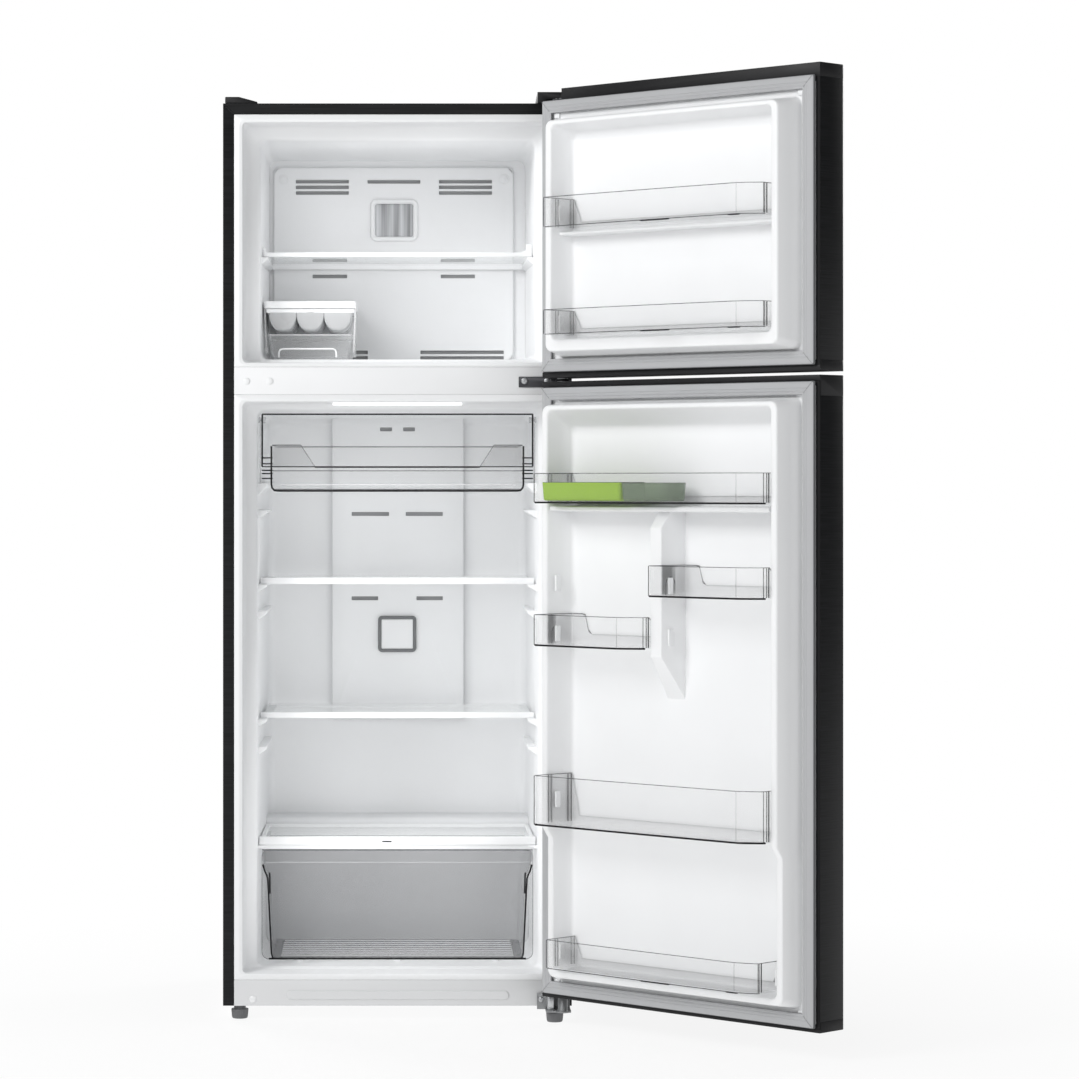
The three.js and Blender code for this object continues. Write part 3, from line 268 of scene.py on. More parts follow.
class Shape:
    """Gathers vertices and faces, in millimetres, for one piece."""

    def __init__(self):
        self.verts = []
        self.faces = []
        self.marks = []

    def add(self, verts, faces, marks):
        base = len(self.verts)
        self.verts.extend(verts)
        self.faces.extend([tuple(base + i for i in f) for f in faces])
        self.marks.extend(marks)
        return self

    def loft(self, rings, mat=0, start=False, end=False, flip=False, mats=None):
        """A skin over a stack of rings; mats gives each band its own material."""
        n = len(rings[0])
        mats = mats or [mat] * len(rings)
        faces = []
        marks = []
        for r in range(len(rings) - 1):
            for i in range(n):
                j = (i + 1) % n
                faces.append((r * n + i, r * n + j, (r + 1) * n + j, (r + 1) * n + i))
                marks.append(mats[r])
        if start:
            faces.append(tuple(reversed(range(n))))
            marks.append(mats[0])
        if end:
            last = (len(rings) - 1) * n
            faces.append(tuple(range(last, last + n)))
            marks.append(mats[-1])
        if flip:
            faces = [tuple(reversed(f)) for f in faces]
        return self.add([v for ring in rings for v in ring], faces, marks)

    def shell(self, outer, inner, mats):
        """An open tub: up the outside, over the rim and down the inside."""
        return self.loft(outer + inner, mats=mats, start=True, end=True)

    def box(self, x, y, z, bevel=1.0, steps=2, mat=0):
        """A box with rounded edges."""
        bm = bmesh.new()
        bmesh.ops.create_cube(bm, size=1.0)
        size = Vector([high - low for low, high in (x, y, z)])
        middle = Vector([(low + high) / 2 for low, high in (x, y, z)])
        for v in bm.verts:
            v.co = v.co * size + middle
        round_edges(bm, list(bm.edges), min(bevel, min(size) * 0.45), steps)
        return self._take(bm, mat)

    def prism(self, outline, place, low, high, bevel=1.0, steps=2, mat=0):
        """An outline carried along an axis, with rounded edges."""
        sides = [[place(p, end) for p in outline] for end in (low, high)]
        return self._slab(sides, bevel, steps, mat)

    def wedge(self, outline, low, high, halves, bevel, steps):
        """A rib in the door: its half width grows from the crest down to its foot."""
        sides = []
        for sign in (-1, 1):
            points = []
            for y, z in outline:
                t = min(1.0, max(0.0, (high - y) / (high - low)))
                half = halves[0] + (halves[1] - halves[0]) * t ** 2
                points.append((sign * half, y, z))
            sides.append(points)
        return self._slab(sides, bevel, steps, 0)

    def _slab(self, sides, bevel, steps, mat):
        bm = bmesh.new()
        first, last = ([bm.verts.new(p) for p in side] for side in sides)
        bm.faces.new(first)
        bm.faces.new(list(reversed(last)))
        for i in range(len(first)):
            j = (i + 1) % len(first)
            bm.faces.new((first[j], first[i], last[i], last[j]))
        bmesh.ops.recalc_face_normals(bm, faces=bm.faces)
        round_edges(bm, list(bm.edges), bevel, steps)
        return self._take(bm, mat)

    def lathe(self, profile, centre, axis="z", steps=32, mat=0):
        """A turned shape: profile is (radius, height) pairs along the axis."""
        rings = []
        for radius, height in profile:
            radius = max(radius, 0.01)
            turns = [2 * pi * i / steps for i in range(steps)]
            rings.append([spun(centre, axis, radius * cos(t), radius * sin(t), height)
                          for t in turns])
        return self.loft(rings, mat, True, True)

    def _take(self, bm, mat):
        bm.verts.index_update()
        verts = [v.co.copy() for v in bm.verts]
        faces = [tuple(v.index for v in f.verts) for f in bm.faces]
        bm.free()
        return self.add(verts, faces, [mat] * len(faces))

    def tube(self, path, radius, mat=0, sides=8, closed=False):
        """A thin round bead along a path."""
        points = [Vector(p) for p in path]
        count = len(points)
        rings = []
        normal = None
        for i, point in enumerate(points):
            before = points[i - 1] if (closed or i) else point
            after = points[(i + 1) % count] if (closed or i + 1 < count) else point
            tangent = (after - before).normalized()
            if normal is None:
                helper = Vector((0, 1, 0)) if abs(tangent.y) < 0.9 else Vector((0, 0, 1))
                normal = helper.cross(tangent).normalized()
            normal = (normal - tangent * normal.dot(tangent)).normalized()
            side = tangent.cross(normal)
            rings.append([point + radius * (cos(t) * normal + sin(t) * side)
                          for t in (2 * pi * k / sides for k in range(sides))])
        if closed:
            return self.loft(rings + [rings[0]], mat)
        return self.loft(rings, mat, True, True)


    def plate(self, outline, holes, y, deep, lip=0.8):
        """A front face at depth y with blind slots; holes are (x0, x1, z0, z1, radius)."""
        bm = bmesh.new()
        edges = []
        loops = [outline]
        for x0, x1, z0, z1, r in holes:
            def slot_outline(by):
                return rounded(grown((x0, x1), by), grown((z0, z1), by), r + by, 3)
            loops.append(slot_outline(lip))
            self.loft([[Vector((u, level, v)) for u, v in slot_outline(by)]
                       for by, level in ((lip, y), (0, y + lip), (0, y + deep))],
                      mats=[0, 0, 1], end=True)
        for loop in loops:
            corners = [bm.verts.new((u, y, v)) for u, v in loop]
            edges += [bm.edges.new((corners[i - 1], corners[i])) for i in range(len(corners))]
        bmesh.ops.triangle_fill(bm, use_beauty=True, edges=edges, normal=(0, -1, 0))
        return self._take(bm, 0)

    def screw(self, centre, radius, axis="y", steps=32):
        """A pan head screw with a cross recess, facing the front or up."""
        facing = -1 if axis == "y" else 1
        rings = []
        for part, height, star in ((1, 0, 0), (1, 0.25, 0), (0.86, 0.5, 0), (0.62, 0.6, 0),
                                   (0.5, 0.6, 1), (0.46, 0.2, 1)):
            ring = []
            for i in range(steps):
                t = 2 * pi * i / steps
                r = radius * part * (1 if not star else 0.35 + 0.65 * abs(cos(2 * t)) ** 3)
                ring.append(spun(centre, axis, r * cos(t), facing * r * sin(t),
                                 facing * height * radius))
            rings.append(ring)
        return self.loft(rings, 0, True, True)

    def piece(self, name, mats, body, slot, replaces=(), space=CABINET, angle=38):
        mesh = bpy.data.meshes.new(name)
        mesh.from_pydata([space @ Vector(v) for v in self.verts], [], self.faces)
        for key in mats:
            mesh.materials.append(M[key])
        mesh.polygons.foreach_set("material_index", self.marks)
        bm = bmesh.new()
        bm.from_mesh(mesh)
        bmesh.ops.remove_doubles(bm, verts=bm.verts, dist=2e-6)
        bmesh.ops.dissolve_degenerate(bm, dist=1e-6, edges=bm.edges)
        bmesh.ops.recalc_face_normals(bm, faces=bm.faces)
        bm.to_mesh(mesh)
        bm.free()
        return finish_piece(name, mesh, body, replaces, angle)


def finish_piece(name, mesh, body, replaces, angle=38):
    mesh.shade_smooth()
    mesh.set_sharp_from_angle(angle=radians(angle))
    obj = bpy.data.objects.new(name, mesh)
    bpy.context.scene.collection.objects.link(obj)
    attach(obj, body)
    if replaces:
        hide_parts(*replaces)
    return obj


def lit_through(obj):
    """Lamps and bounced light pass straight through thin clear plastic."""
    obj.visible_shadow = False
    obj.visible_diffuse = False


FLAT, SHARP = radians(1), radians(30)


def refine(node, mat, width):
    """A CAD node's own shape with clean flat faces, rounded edges and a finished material."""
    source = frame["nodes"][node]
    bm = bmesh.new()
    bm.from_mesh(source.data)
    bmesh.ops.remove_doubles(bm, verts=bm.verts, dist=1e-5)
    bmesh.ops.dissolve_limit(bm, angle_limit=FLAT, verts=bm.verts, edges=bm.edges)
    if width > 0:
        sharp = [e for e in bm.edges if len(e.link_faces) == 2
                 and e.calc_face_angle(0.0) > SHARP]
        round_edges(bm, sharp, width * MM, 2)
    mesh = bpy.data.meshes.new(node + "_fine")
    bm.to_mesh(mesh)
    bm.free()
    mesh.materials.clear()
    mesh.materials.append(M[mat])
    finish_piece(node + "_fine", mesh, source["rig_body"], [node])


def along_x(p, x):
    return Vector((x, p[0], p[1]))


def along_y(p, y):
    return Vector((p[0], y, p[1]))


# ---------------------------------------------------------------- refined CAD nodes
for node, mat, width in (
    ("side_panel_left", "case", 0.3), ("side_panel_right", "case", 0.3),
    ("top_panel", "case", 0.3), ("rear_panel", "galvanised", 0.3),
    # the base pan takes the apron's darker enamel, painted shade near the floor
    ("machine_cover", "galvanised", 0.3), ("base_pan", "apron", 0.5),
    ("mullion_plate", "face", 0.4), ("led_lamp", "lamp", 0.5),
    ("roller_left", "black", 0.6), ("roller_right", "black", 0.6),
    ("fan_blade", "black", 0.4), ("fan_motor", "black", 0.8),
    ("compressor", "enamel", 1.5), ("condenser", "enamel", 0.0),
    ("evaporator", "fins", 0.0), ("top_hinge_cover", "black", 2.0),
    ("top_left_cap", "black", 2.0), ("top_hinge", "zinc", 0.6),
    ("middle_hinge", "zinc", 0.8), ("bottom_hinge", "steel", 0.8),
    ("upper_door_skin", "case", 0.25), ("lower_door_skin", "case", 0.25),
    ("upper_door_top_cap", "black", 1.0), ("upper_door_bottom_cap", "black", 1.0),
    ("lower_door_top_cap", "black", 1.0), ("lower_door_bottom_cap", "black", 1.0),
    ("shelf_upper_frame", "white", 0.8), ("shelf_lower_frame", "white", 0.8),
    ("shelf_upper_glass", "glass", 0.4), ("shelf_lower_glass", "glass", 0.4),
):
    refine(node, mat, width)

# ---------------------------------------------------------------- liners


def liner(name, node, room, extra):
    """The moulded tub: flange, lip, nearly straight flare, rounded step, walls and back."""
    low, top, floor, ceiling = room["low"], room["top"], room["floor"], room["ceiling"]
    half, back = room["half"], room["back"]
    edge_low, edge_top = room["flange"]
    curve = 22  # radius of the bend into the back wall
    step_y = 72  # where the walls start, behind the step
    rings = [  # half width, bottom, top, corner radius, depth
        (327.7, edge_low, edge_top, 1.5, 2.0),
        (327.7, edge_low, edge_top, 1.5, 0.6),
        (327.2, edge_low + 0.5, edge_top - 0.5, 1.5, 0.0)]
    rings += [(width, low + under, top + over, radius, y) for width, under, over, radius, y in (
        (319.0, -6.2, 6.2, 14, 0.0), (318.4, -5.8, 5.8, 14, -0.35), (316.5, -4.6, 4.6, 13, -0.35),
        (315.9, -4.2, 4.2, 13, 0.0), (312.6, -2.3, 2.3, 12, 0.0), (311.2, -0.9, 0.9, 11, 0.4),
        (310.4, -0.1, 0.1, 10, 1.8), (307.0, 2.4, -3.0, 11, 46.0), (305.9, 2.8, -4.0, 12, 50.0),
        (303.0, 3.4, -6.5, 13, 53.0), (298.0, 4.2, -11.0, 14, 55.5))]
    rings += [(half + out, floor - under, ceiling + out, 16, y) for out, under, y in (
        (7, 2.0, 60.5), (3, 0.8, 63.5), (1, 0.3, 67.0), (0, 0, step_y))]
    for t in (0.33, 0.66, 1.0):
        depth = step_y + (back - curve - step_y) * t
        rings.append((half - 6 * t, floor + t, ceiling - 8 * t, 16, depth))
    for t in (0.25, 0.5, 0.75, 1.0):
        turn = t * pi / 2
        bend = 6 + 18 * (1 - cos(turn))
        depth = back - curve + curve * sin(turn)
        rings.append((half - bend, floor + bend * 0.7, ceiling - 8 - bend * 0.7, 18, depth))
    shape = Shape().loft([front_ring(width, (z0, z1), radius, y)
                          for width, z0, z1, radius, y in rings], 0, False, True)
    extra(shape)
    shape.piece(name, ["white", "grey"], "cabinet", "white_plastic", [node], angle=50)


def ledge(shape, half, reach, top, drop, y):
    """A side-wall shelf support: flat top, sloping underside, rounded nose."""
    for side in (-1, 1):
        outline = [(side * (half + 2), top), (side * (half - reach), top),
                   (side * (half - reach), top - drop * 0.3), (side * (half + 2), top - drop)]
        shape.prism(outline, along_y, y[0], y[1], 1.6, 3)


def freezer_extra(shape):
    ledge(shape, 276, 12, 1536.5, 16, (104, 420))


FRIDGE_LEDGES = ((1076.4, 26), (1021, 17), (869.6, 15), (816, 19), (595.2, 15), (540, 18),
                 (339.4, 8))


def fridge_extra(shape):
    for top, drop in FRIDGE_LEDGES:
        ledge(shape, 283, 17, top, drop, (104, 415))
    for middle in (-200, 0, 200):
        shape.box((middle - 6, middle + 6), (150, 420), (95, 105.6), 2.0, 3)
    hump = [(430, 90), (430, 346), (433, 357), (440, 364), (450, 366), (560, 366), (560, 90)]
    shape.prism(hump, along_x, -279, 279, 0.5, 1)
    shape.box((304, 309.5), (14, 26), (684, 718), 2.0, 3, 1)


liner("freezer_tub", "freezer_liner",
      {"low": 1318.3, "top": 1800.6, "floor": 1327, "ceiling": 1768, "half": 277, "back": 520,
       "flange": (1309.4, 1816.2)}, freezer_extra)
liner("fridge_tub", "fridge_liner",
      {"low": 91.9, "top": 1239.7, "floor": 98, "ceiling": 1223, "half": 284, "back": 545,
       "flange": (79.4, 1254.0)}, fridge_extra)

# round plugs in the mullion and the apron, the apron's raised rib and the case's mitred corners
trim = Shape()
for x, z in ((-302.6, 1281.1), (-255.9, 1281.1), (-289.8, 40.9)):
    trim.lathe(((7.2, 0), (7.2, -0.6), (6.4, -1.5), (4.4, -2.3), (2.0, -2.7), (0.1, -2.8)),
               (x, 0.1, z), "y")
rib = ((1.6, 0.3), (1.0, -0.8), (0.2, -2.2), (-0.6, -2.8), (-2.4, -3.1))
# the apron's raised rib takes the same darker enamel, painted shade
trim.loft(framed((-222, 223), (41, 56.6), 7.4, 0, rib), 1, True, True)
trim.piece("front_trim", ["face", "apron"], "cabinet", "face_metal")
seam = Shape()
for side in (-1, 1):
    seam.tube([(side * 349.4, -0.05, 1836.6), (side * 328.8, -0.05, 1815.8)], 0.35, 0, 6)
seam.piece("case_seams", ["zinc"], "cabinet", "case_metal")

# ---------------------------------------------------------------- freezer fittings
COVER_Y = 430
COVER_X, COVER_Z = (-264, 248), (1334, 1748.5)
VENT = 7.6  # height of a vent slot
vents = [(x0, x1, top - VENT, top, 1.2)
         for tops, spans in (((1720.9, 1709.0, 1696.9), ((-216, -103.3), (88.4, 201))),
                             ((1720.6,), ((-63.5, 48.7),)),
                             ((1553.5, 1519.3), ((-180.4, -107.1), (92.2, 164.9))),
                             ((1358, 1346), ((-95, -63), (48.7, 226))))
         for top in tops for x0, x1 in spans]
cover = Shape()
cover.plate(rounded(grown(COVER_X, -4), grown(COVER_Z, -4), 14), vents, COVER_Y, 9)
rim = ((-4, 430), (-2.4, 430.5), (-1.0, 432), (-0.3, 434.5), (0, 438))
skirt = [front_ring(271.6, (1328, 1762), 12, y) for y in (439.4, 440.5, 444)]
cover.loft(framed(COVER_X, COVER_Z, 14, 10, rim) + skirt, 0, False, True)
for x in (-241, 226.5):
    cover.lathe(((11, 0.2), (11, -1.0), (10.2, -1.6), (9.4, -1.6), (9.0, -0.9), (8.2, -0.9),
                 (7.6, -1.8), (4.0, -2.4), (0.1, -2.6)), (x, COVER_Y, 1721.8), "y", 40)
cover.piece("evaporator_panel", ["panel", "shadow"], "cabinet", "white_plastic",
            ["evaporator_cover"], angle=40)

BADGE = (-57.4, 43.8), (1589.6, 1679.8), 14
badge = Shape()
badge.loft(framed(*BADGE, 5, ((0, 429.7), (0, 426.5), (-1.2, 424.4), (-3.4, 423.3), (-6.0, 423.2),
                              (-8.2, 424.2), (-9.6, 426.0), (-10.4, 427.0))))
badge.loft(framed(*BADGE, 4, ((-10.4, 427.0), (-11.2, 426.2), (-13, 425.6))), 1, False, True)
badge.loft(framed(*BADGE, 5, ((0, 429.7), (-4, 429.75))), 0, False, True, flip=True)
badge.piece("badge", ["pearl", "badge"], "cabinet", "badge_steel", ["badge_plate"], angle=40)

trims = Shape()
trims.box((-273.5, 273.5), (112, 118.6), (1537.6, 1546.5), 1.6, 3)
trims.box((-268, 268), (420.8, 426), (1529.4, 1541.8), 1.2, 3)
for side in (-1, 1):
    trims.box(sided(side, 264.5, 271.5), (118.4, 421), (1538.4, 1543.0))
trims.prism([(250, 1546), (262, 1551), (262, 1563), (273, 1563), (273, 1546)], along_y, 113, 125)
trims.prism([(-266, 1546), (-270, 1556), (-273, 1556), (-273, 1546)], along_y, 113, 125, 0.8)
trims.piece("freezer_shelf_trim", ["white"], "cabinet", "white_plastic")
pane = Shape()
pane.box((-271, 271), (118, 424), (1537.2, 1541.3), 0.6)
lit_through(pane.piece("freezer_shelf_pane", ["glass"], "cabinet", "shelf_glass",
                       ["freezer_shelf"]))

# ice maker: a clear housing with a white head, a twist tray with three rows and a bin
ICE_X, ICE_Y = (-271.8, -84), (112, 400)
house = Shape()
house.loft([plan_ring(grown(ICE_X, by), grown(ICE_Y, by), 7, z)
            for by, z in ((-1.6, 1432.6), (-0.5, 1433.2), (0, 1434.6), (0, 1445.2),
                          (-0.8, 1446.8), (-2.4, 1447.3))], 0, True, True)
house.box((-196, -160), (110.8, 113), (1440.2, 1445.6), 0.8)
house.piece("ice_head", ["white"], "cabinet", "white_plastic")
walls = Shape()
for x, taper in ((ICE_X[0], 3.4), (ICE_X[1] - 3, -3.4)):
    outline = [(x, 1433), (x + 2.6, 1433), (x + 2.6 + taper, 1342), (x + taper, 1342)]
    walls.prism(outline, along_y, ICE_Y[0] + 1, ICE_Y[1] - 1, 0.7)
    walls.tube([(x + 1.3, 112.6, 1432), (x + 1.3 + taper, 112.6, 1343)], 1.5, 1)
walls.tube([(-270.6, 112.2, 1432), (-267.2, 112.2, 1343)], 0.8, 2)
walls.box((-269, -87), (396.5, 399.5), (1342, 1433), 0.8, mat=3)
lit_through(walls.piece("ice_housing", ["frost", "rib", "edge", "pearl"], "cabinet",
                        "white_plastic", ["ice_frame"]))

tray = Shape()
TRAY_X, TRAY_Y = (-261.8, -93.8), (117, 392)
ROW = (TRAY_X[1] - TRAY_X[0]) / 3
tray.box((-267.4, -88.4), TRAY_Y, (1423.6, 1432), 1.4, 3)
for n in range(3):
    middle = TRAY_X[0] + (n + 0.5) * ROW
    rings = []
    for y, scale in ((117.2, 0.86), (118.2, 0.95), (121, 1.0), (388, 1.0), (390.8, 0.95),
                     (391.8, 0.86)):
        ring = []
        for step in range(25):
            turn = pi * step / 24
            across = copysign(abs(cos(turn)) ** 0.8, cos(turn))
            ring.append(Vector((middle - across * (ROW / 2 + 0.4) * scale, y,
                                1424.5 - sin(turn) ** 0.9 * 37.2 * scale)))
        rings.append(ring)
    tray.loft(rings, 2, True, True)
tray.box((-185, -171), (114.6, 118), (1425, 1431))
tray.piece("ice_twist_tray", ["pearl", "rib", "cloud"], "ice_tray", "white_plastic",
           ["ice_tray"], angle=40)

bucket = Shape()
BUCKET_X, BUCKET_Y = (-264.6, -91.2), (114, 396)
BUCKET_LOW, BUCKET_TOP = 1331, 1380


def bucket_ring(by, z):
    taper = 10 * (BUCKET_TOP - z) / (BUCKET_TOP - BUCKET_LOW)
    return plan_ring(grown(BUCKET_X, -taper - by), grown(BUCKET_Y, -taper * 0.8 - by),
                     max(9 - by, 3), z)


outer = [bucket_ring(*step) for step in ((7, 1331), (2.5, 1331.4), (0.6, 1333), (0, 1337),
                                         (0, 1377), (0, 1379.4), (0.5, 1380))]
inside = [bucket_ring(*step) for step in ((2.2, 1380), (2.6, 1379.2), (2.6, 1377), (2.6, 1338),
                                          (4, 1335), (8, 1334))]
bucket.shell(outer, inside, [1, 1, 0, 0, 1, 1, 1, 1, 1, 0, 0, 0, 0])
loop = [(x, 113.4, z) for x, z in ((-241.5, 1332.6), (-241.5, 1343), (-239, 1348), (-234, 1350),
                                   (-132, 1350), (-127, 1348), (-124.5, 1343), (-124.5, 1332.6))]
bucket.tube(loop, 1.9, 2)
lit_through(bucket.piece("ice_bucket", ["frost", "rib", "pearl"], "ice_bin", "clear_plastic",
                         ["ice_bin"], angle=40))

# ---------------------------------------------------------------- fridge fittings
DUCT_X, DUCT_Z, DUCT_Y = (-140, 142), (570, 1217), 518
duct = Shape()
vents = [(x0, x1, top - 8.4, top, 1.2) for x0, x1, top in (
    (-37.3, -11.6, 1196.2), (12.4, 37.7, 1196.2), (-98.3, -18, 1014.4), (18, 97.6, 1014.4),
    (-98.3, -41.5, 833.2), (41.1, 97.6, 833.2))]
duct.plate(rounded(grown(DUCT_X, -1.5), grown(DUCT_Z, -1.5), 3, 3), vents, DUCT_Y, 8, 0.4)
duct.loft([[Vector((u, y, v))
            for u, v in rounded(grown(DUCT_X, by), grown(DUCT_Z, by), 4.5 + by, 3)]
           for by, y in ((-1.5, 518), (-0.6, 518.4), (0, 519.6), (0, 544.7))], 0, False, True)
duct.piece("air_duct", ["panel", "shadow"], "cabinet", "white_plastic", ["duct_cover"], angle=40)

FILTER_X, FILTER_Z = (-41.4, 40.6), (713.8, 791.2)
filt = Shape()
filt.loft(framed(FILTER_X, FILTER_Z, 9, 2.2, ((0, 517.6), (0, 511.5), (-0.8, 509.6), (-2.2, 509),
                                              (-5.8, 509), (-6.9, 509.8), (-7.2, 511.2))))
face = ((-7.2, 511.2), (-7.8, 510.6), (-9.0, 510.2))
filt.loft(framed(FILTER_X, FILTER_Z, 9, 2.2, face), 1, False, True)
filt.loft([front_ring(FILTER_X, FILTER_Z, 8, 517.6),
           front_ring(grown(FILTER_X, -3), grown(FILTER_Z, -3), 6, 517.65)],
          0, False, True, flip=True)
filt.piece("air_filter", ["grey", "white"], "cabinet", "grey_plastic", ["filter_cassette"],
           angle=40)

# crisper cover: white frame bar with a lower lip, glass, side rails and the slider's track
lid = Shape()
lid.box((-281.5, 281.5), (105, 119), (339.8, 356.7), 2.4, 3)
lid.box((-276, 276), (111, 120), (331.0, 341), 1.2)
for side in (-1, 1):
    lid.box(sided(side, 271, 279), (118, 426), (345.6, 353.0), 1.2)
lid.box((-279, 279), (419, 426), (345.6, 353.4), 1.2)
lid.piece("crisper_lid_frame", ["white"], "cabinet", "white_plastic")
lid_glass = Shape()
lid_glass.box((-272, 272), (118, 420), (347, 351.4), 0.8)
lit_through(lid_glass.piece("crisper_lid_glass", ["glass"], "cabinet", "shelf_glass",
                            ["crisper_cover"]))
knob = Shape()
knob.box((-34, 34), (101.4, 104.6), (344.4, 350.2), 1.4, 3, 1)
knob.box((-31, -12), (100.6, 102), (346.2, 348.6), 0.6)
knob.box((-5, 5), (98.2, 102.4), (344.0, 350.8), 1.5, 3, 1)
knob.piece("humidity_knob", ["dark", "pearl"], "humidity_slider", "black_plastic",
           ["humidity_slider"])

# crisper drawer: a smoke front panel and a tapered box behind it
LINE_Y = 112.8  # the dark lines show just behind the panel's face
drawer = Shape()


def drawer_ring(half, by, z):
    back = 420 - (277 - half) / 2 - by
    return plan_ring(grown((-half, half), -by), (116 + by, back), 10 - by, z)


profile = ((251, 106.2), (254.5, 106.8), (256.3, 110), (257.2, 118), (263.2, 262), (264.6, 272),
           (268, 282), (272.4, 292), (274.2, 299), (275.4, 306), (276.4, 327), (276, 329.6))
outer = [drawer_ring(half, 0, z) for half, z in profile]
inside = [drawer_ring(half, 2.5, z + (2.6 if z < 119 else 0)) for half, z in reversed(profile)]
drawer.shell(outer, inside, [1, 1] + [0] * 8 + [1, 1] + [0] * 12)
front = ((-3, 112), (-1, 112.2), (0, 113), (0, 115.4), (-1, 116.2))
drawer.loft(framed((-276.6, 276.6), (106, 330), 15, 6, front), mats=[0, 1, 1, 1, 0],
            start=True, end=True)
for side in (-1, 1):
    drawer.tube([(side * x, LINE_Y, z) for x, z in (
        (273.9, 299.2), (270.4, 286), (266.2, 277), (264.0, 270), (256.6, 118), (254.2, 110),
        (250, 107.4))], 1.8, 3)
    drawer.tube([(side * 260.4, LINE_Y, 283), (side * 259.4, LINE_Y, 240)], 1.7, 3)
for y in range(150, 389, 34):
    drawer.box((-238, 238), (y, y + 4), (108.4, 110.6), 0.7, 2, 4)
drawer.tube([(-270, 113.0, 304), (270, 113.0, 304)], 0.7, 2)
drawer.tube([(-262, LINE_Y, 107.4), (262, LINE_Y, 107.4)], 1.9, 3)
lit_through(drawer.piece("crisper_tub", ["smoke", "edge", "rib", "dark", "pearl"],
                         "crisper_drawer", "smoke_plastic", ["crisper_drawer"]))

# chiller: a shallow clear tray with ribbed runners, and a clear flap in front of it
CH_HALF, CH_Y, CH_LOW, CH_WALL, CH_DIP = 256, (118, 468), 1059.6, 1155, 1109
CH_PIVOT = 118, 1205  # the flap's pivots, in y and z
DIP_START, DIP_RUN = 168, 29  # where the front rim steps up, and over what width
chill = Shape()


def chiller_plan(by):
    """Plan outline with extra points along the front edge where the rim steps down."""
    points = rounded(grown((-CH_HALF, CH_HALF), -by), grown(CH_Y, -by), max(12 - by, 3))
    third = 3 * (ARC + 1)
    front = [(x, CH_Y[0] + by) for x in (-197.5, -196, -168, -166.5, 166.5, 168, 196, 197.5)]
    return points[:third] + front + points[third:]


def chiller_ring(by, z):
    """The end walls dip in the middle: points between the ends drop to the front rim."""
    ring = []
    for x, y in chiller_plan(by):
        height = z
        if z > CH_LOW + 20:
            rise = min(1.0, max(0.0, (abs(x) - DIP_START) / DIP_RUN)) if y < CH_Y[1] - 20 else 1.0
            dip = (CH_WALL - CH_DIP) * (1 - rise)
            height = z - dip * (z - CH_LOW - 20) / (CH_WALL - CH_LOW - 20)
        ring.append(Vector((x, y, height)))
    return ring


outer = [chiller_ring(*step) for step in ((9, 1059.6), (5, 1059.9), (2, 1061.6), (0.4, 1064.5),
                                          (0, 1068), (0, 1152.6), (0, 1154.4), (0.5, 1155))]
inside = [chiller_ring(*step) for step in ((2.0, 1155), (2.5, 1154.4), (2.5, 1152.6), (2.5, 1069),
                                           (4, 1065), (8, 1062.8), (12, 1062.4))]
chill.shell(outer, inside, [1, 1, 1, 0, 0, 1, 1, 1, 1, 1, 0, 0, 0, 0, 0])
for side in (-1, 1):
    chill.tube([(side * x, 119, z) for x, z in ((257, 1152), (257, 1074), (255.6, 1067),
                                                (251, 1061.6), (244, 1060.6), (0, 1060.6))],
               1.9, 4)
    for z in (1128, 1116, 1102.5, 1096, 1086):
        chill.box(sided(side, 255, 276.6), (119, 150), (z - 1.3, z + 1.3), 0.5, 1, 4)
    chill.box(sided(side, 254, 277), (130, 452), (1077, 1080), 0.8)
    chill.box(sided(side, 278, 281), (113, 134), (1078, 1212), 1.0, 2, 2)
    chill.box(sided(side, 254, 281), (120, 134), (1077.2, 1080), 0.8)
    chill.lathe(((6.2, 0), (6.2, 1.6), (5.4, 2.2), (3.6, 2.2)),
                (side * 281 - (0 if side > 0 else 2.2), *CH_PIVOT), "x", 20, 2)
    chill.tube([(side * 197, 118.6, 1154), (side * 168, 118.6, 1109.4)], 1.0, 2)
for half, y, z, radius, mat in ((168, 118.6, 1108.6, 1.1, 4), (254, 118.6, 1101.5, 0.9, 1),
                                (236, 120, 1073, 0.7, 3)):
    chill.tube([(-half, y, z), (half, y, z)], radius, mat)
lit_through(chill.piece("chiller_box", ["pane", "edge", "faint", "rib", "dark"], "chiller_tray",
                        "clear_plastic", ["chiller_tray"], angle=40))

flap = Shape()
flap.loft(framed((-276.4, 276.4), (1109.4, 1218), 4, 2,
                 ((-1, 112.2), (0, 112.9), (0, 114.4), (-1, 115))),
          mats=[0, 1, 0, 0], start=True, end=True)
for side in (-1, 1):
    flap.tube([(side * 275.6, 113.2, 1110.5), (side * 275.4, 113.2, 1217)], 1.7, 3)
    flap.box(sided(side, 268, 276), (114.6, 123), (1199, 1211), 1.5, 3, 2)
    flap.lathe(((0.1, 0), (3.2, 0.2), (3.2, 5.6), (2.4, 6.2), (0.1, 6.3)),
               (side * 274.6 - (0 if side > 0 else 6.3), *CH_PIVOT), "x", 20, 2)
flap.tube([(-276, 112.6, 1109.8), (276, 112.6, 1109.8)], 1.1, 3)
flap.tube([(-275.6, 113.2, 1216.8), (275.6, 113.2, 1216.8)], 1.6, 3)
lit_through(flap.piece("chiller_door", ["pane", "edge", "faint", "dark"], "chiller_flap",
                       "clear_plastic", ["chiller_flap"], angle=40))

# ---------------------------------------------------------------- feet and hinges


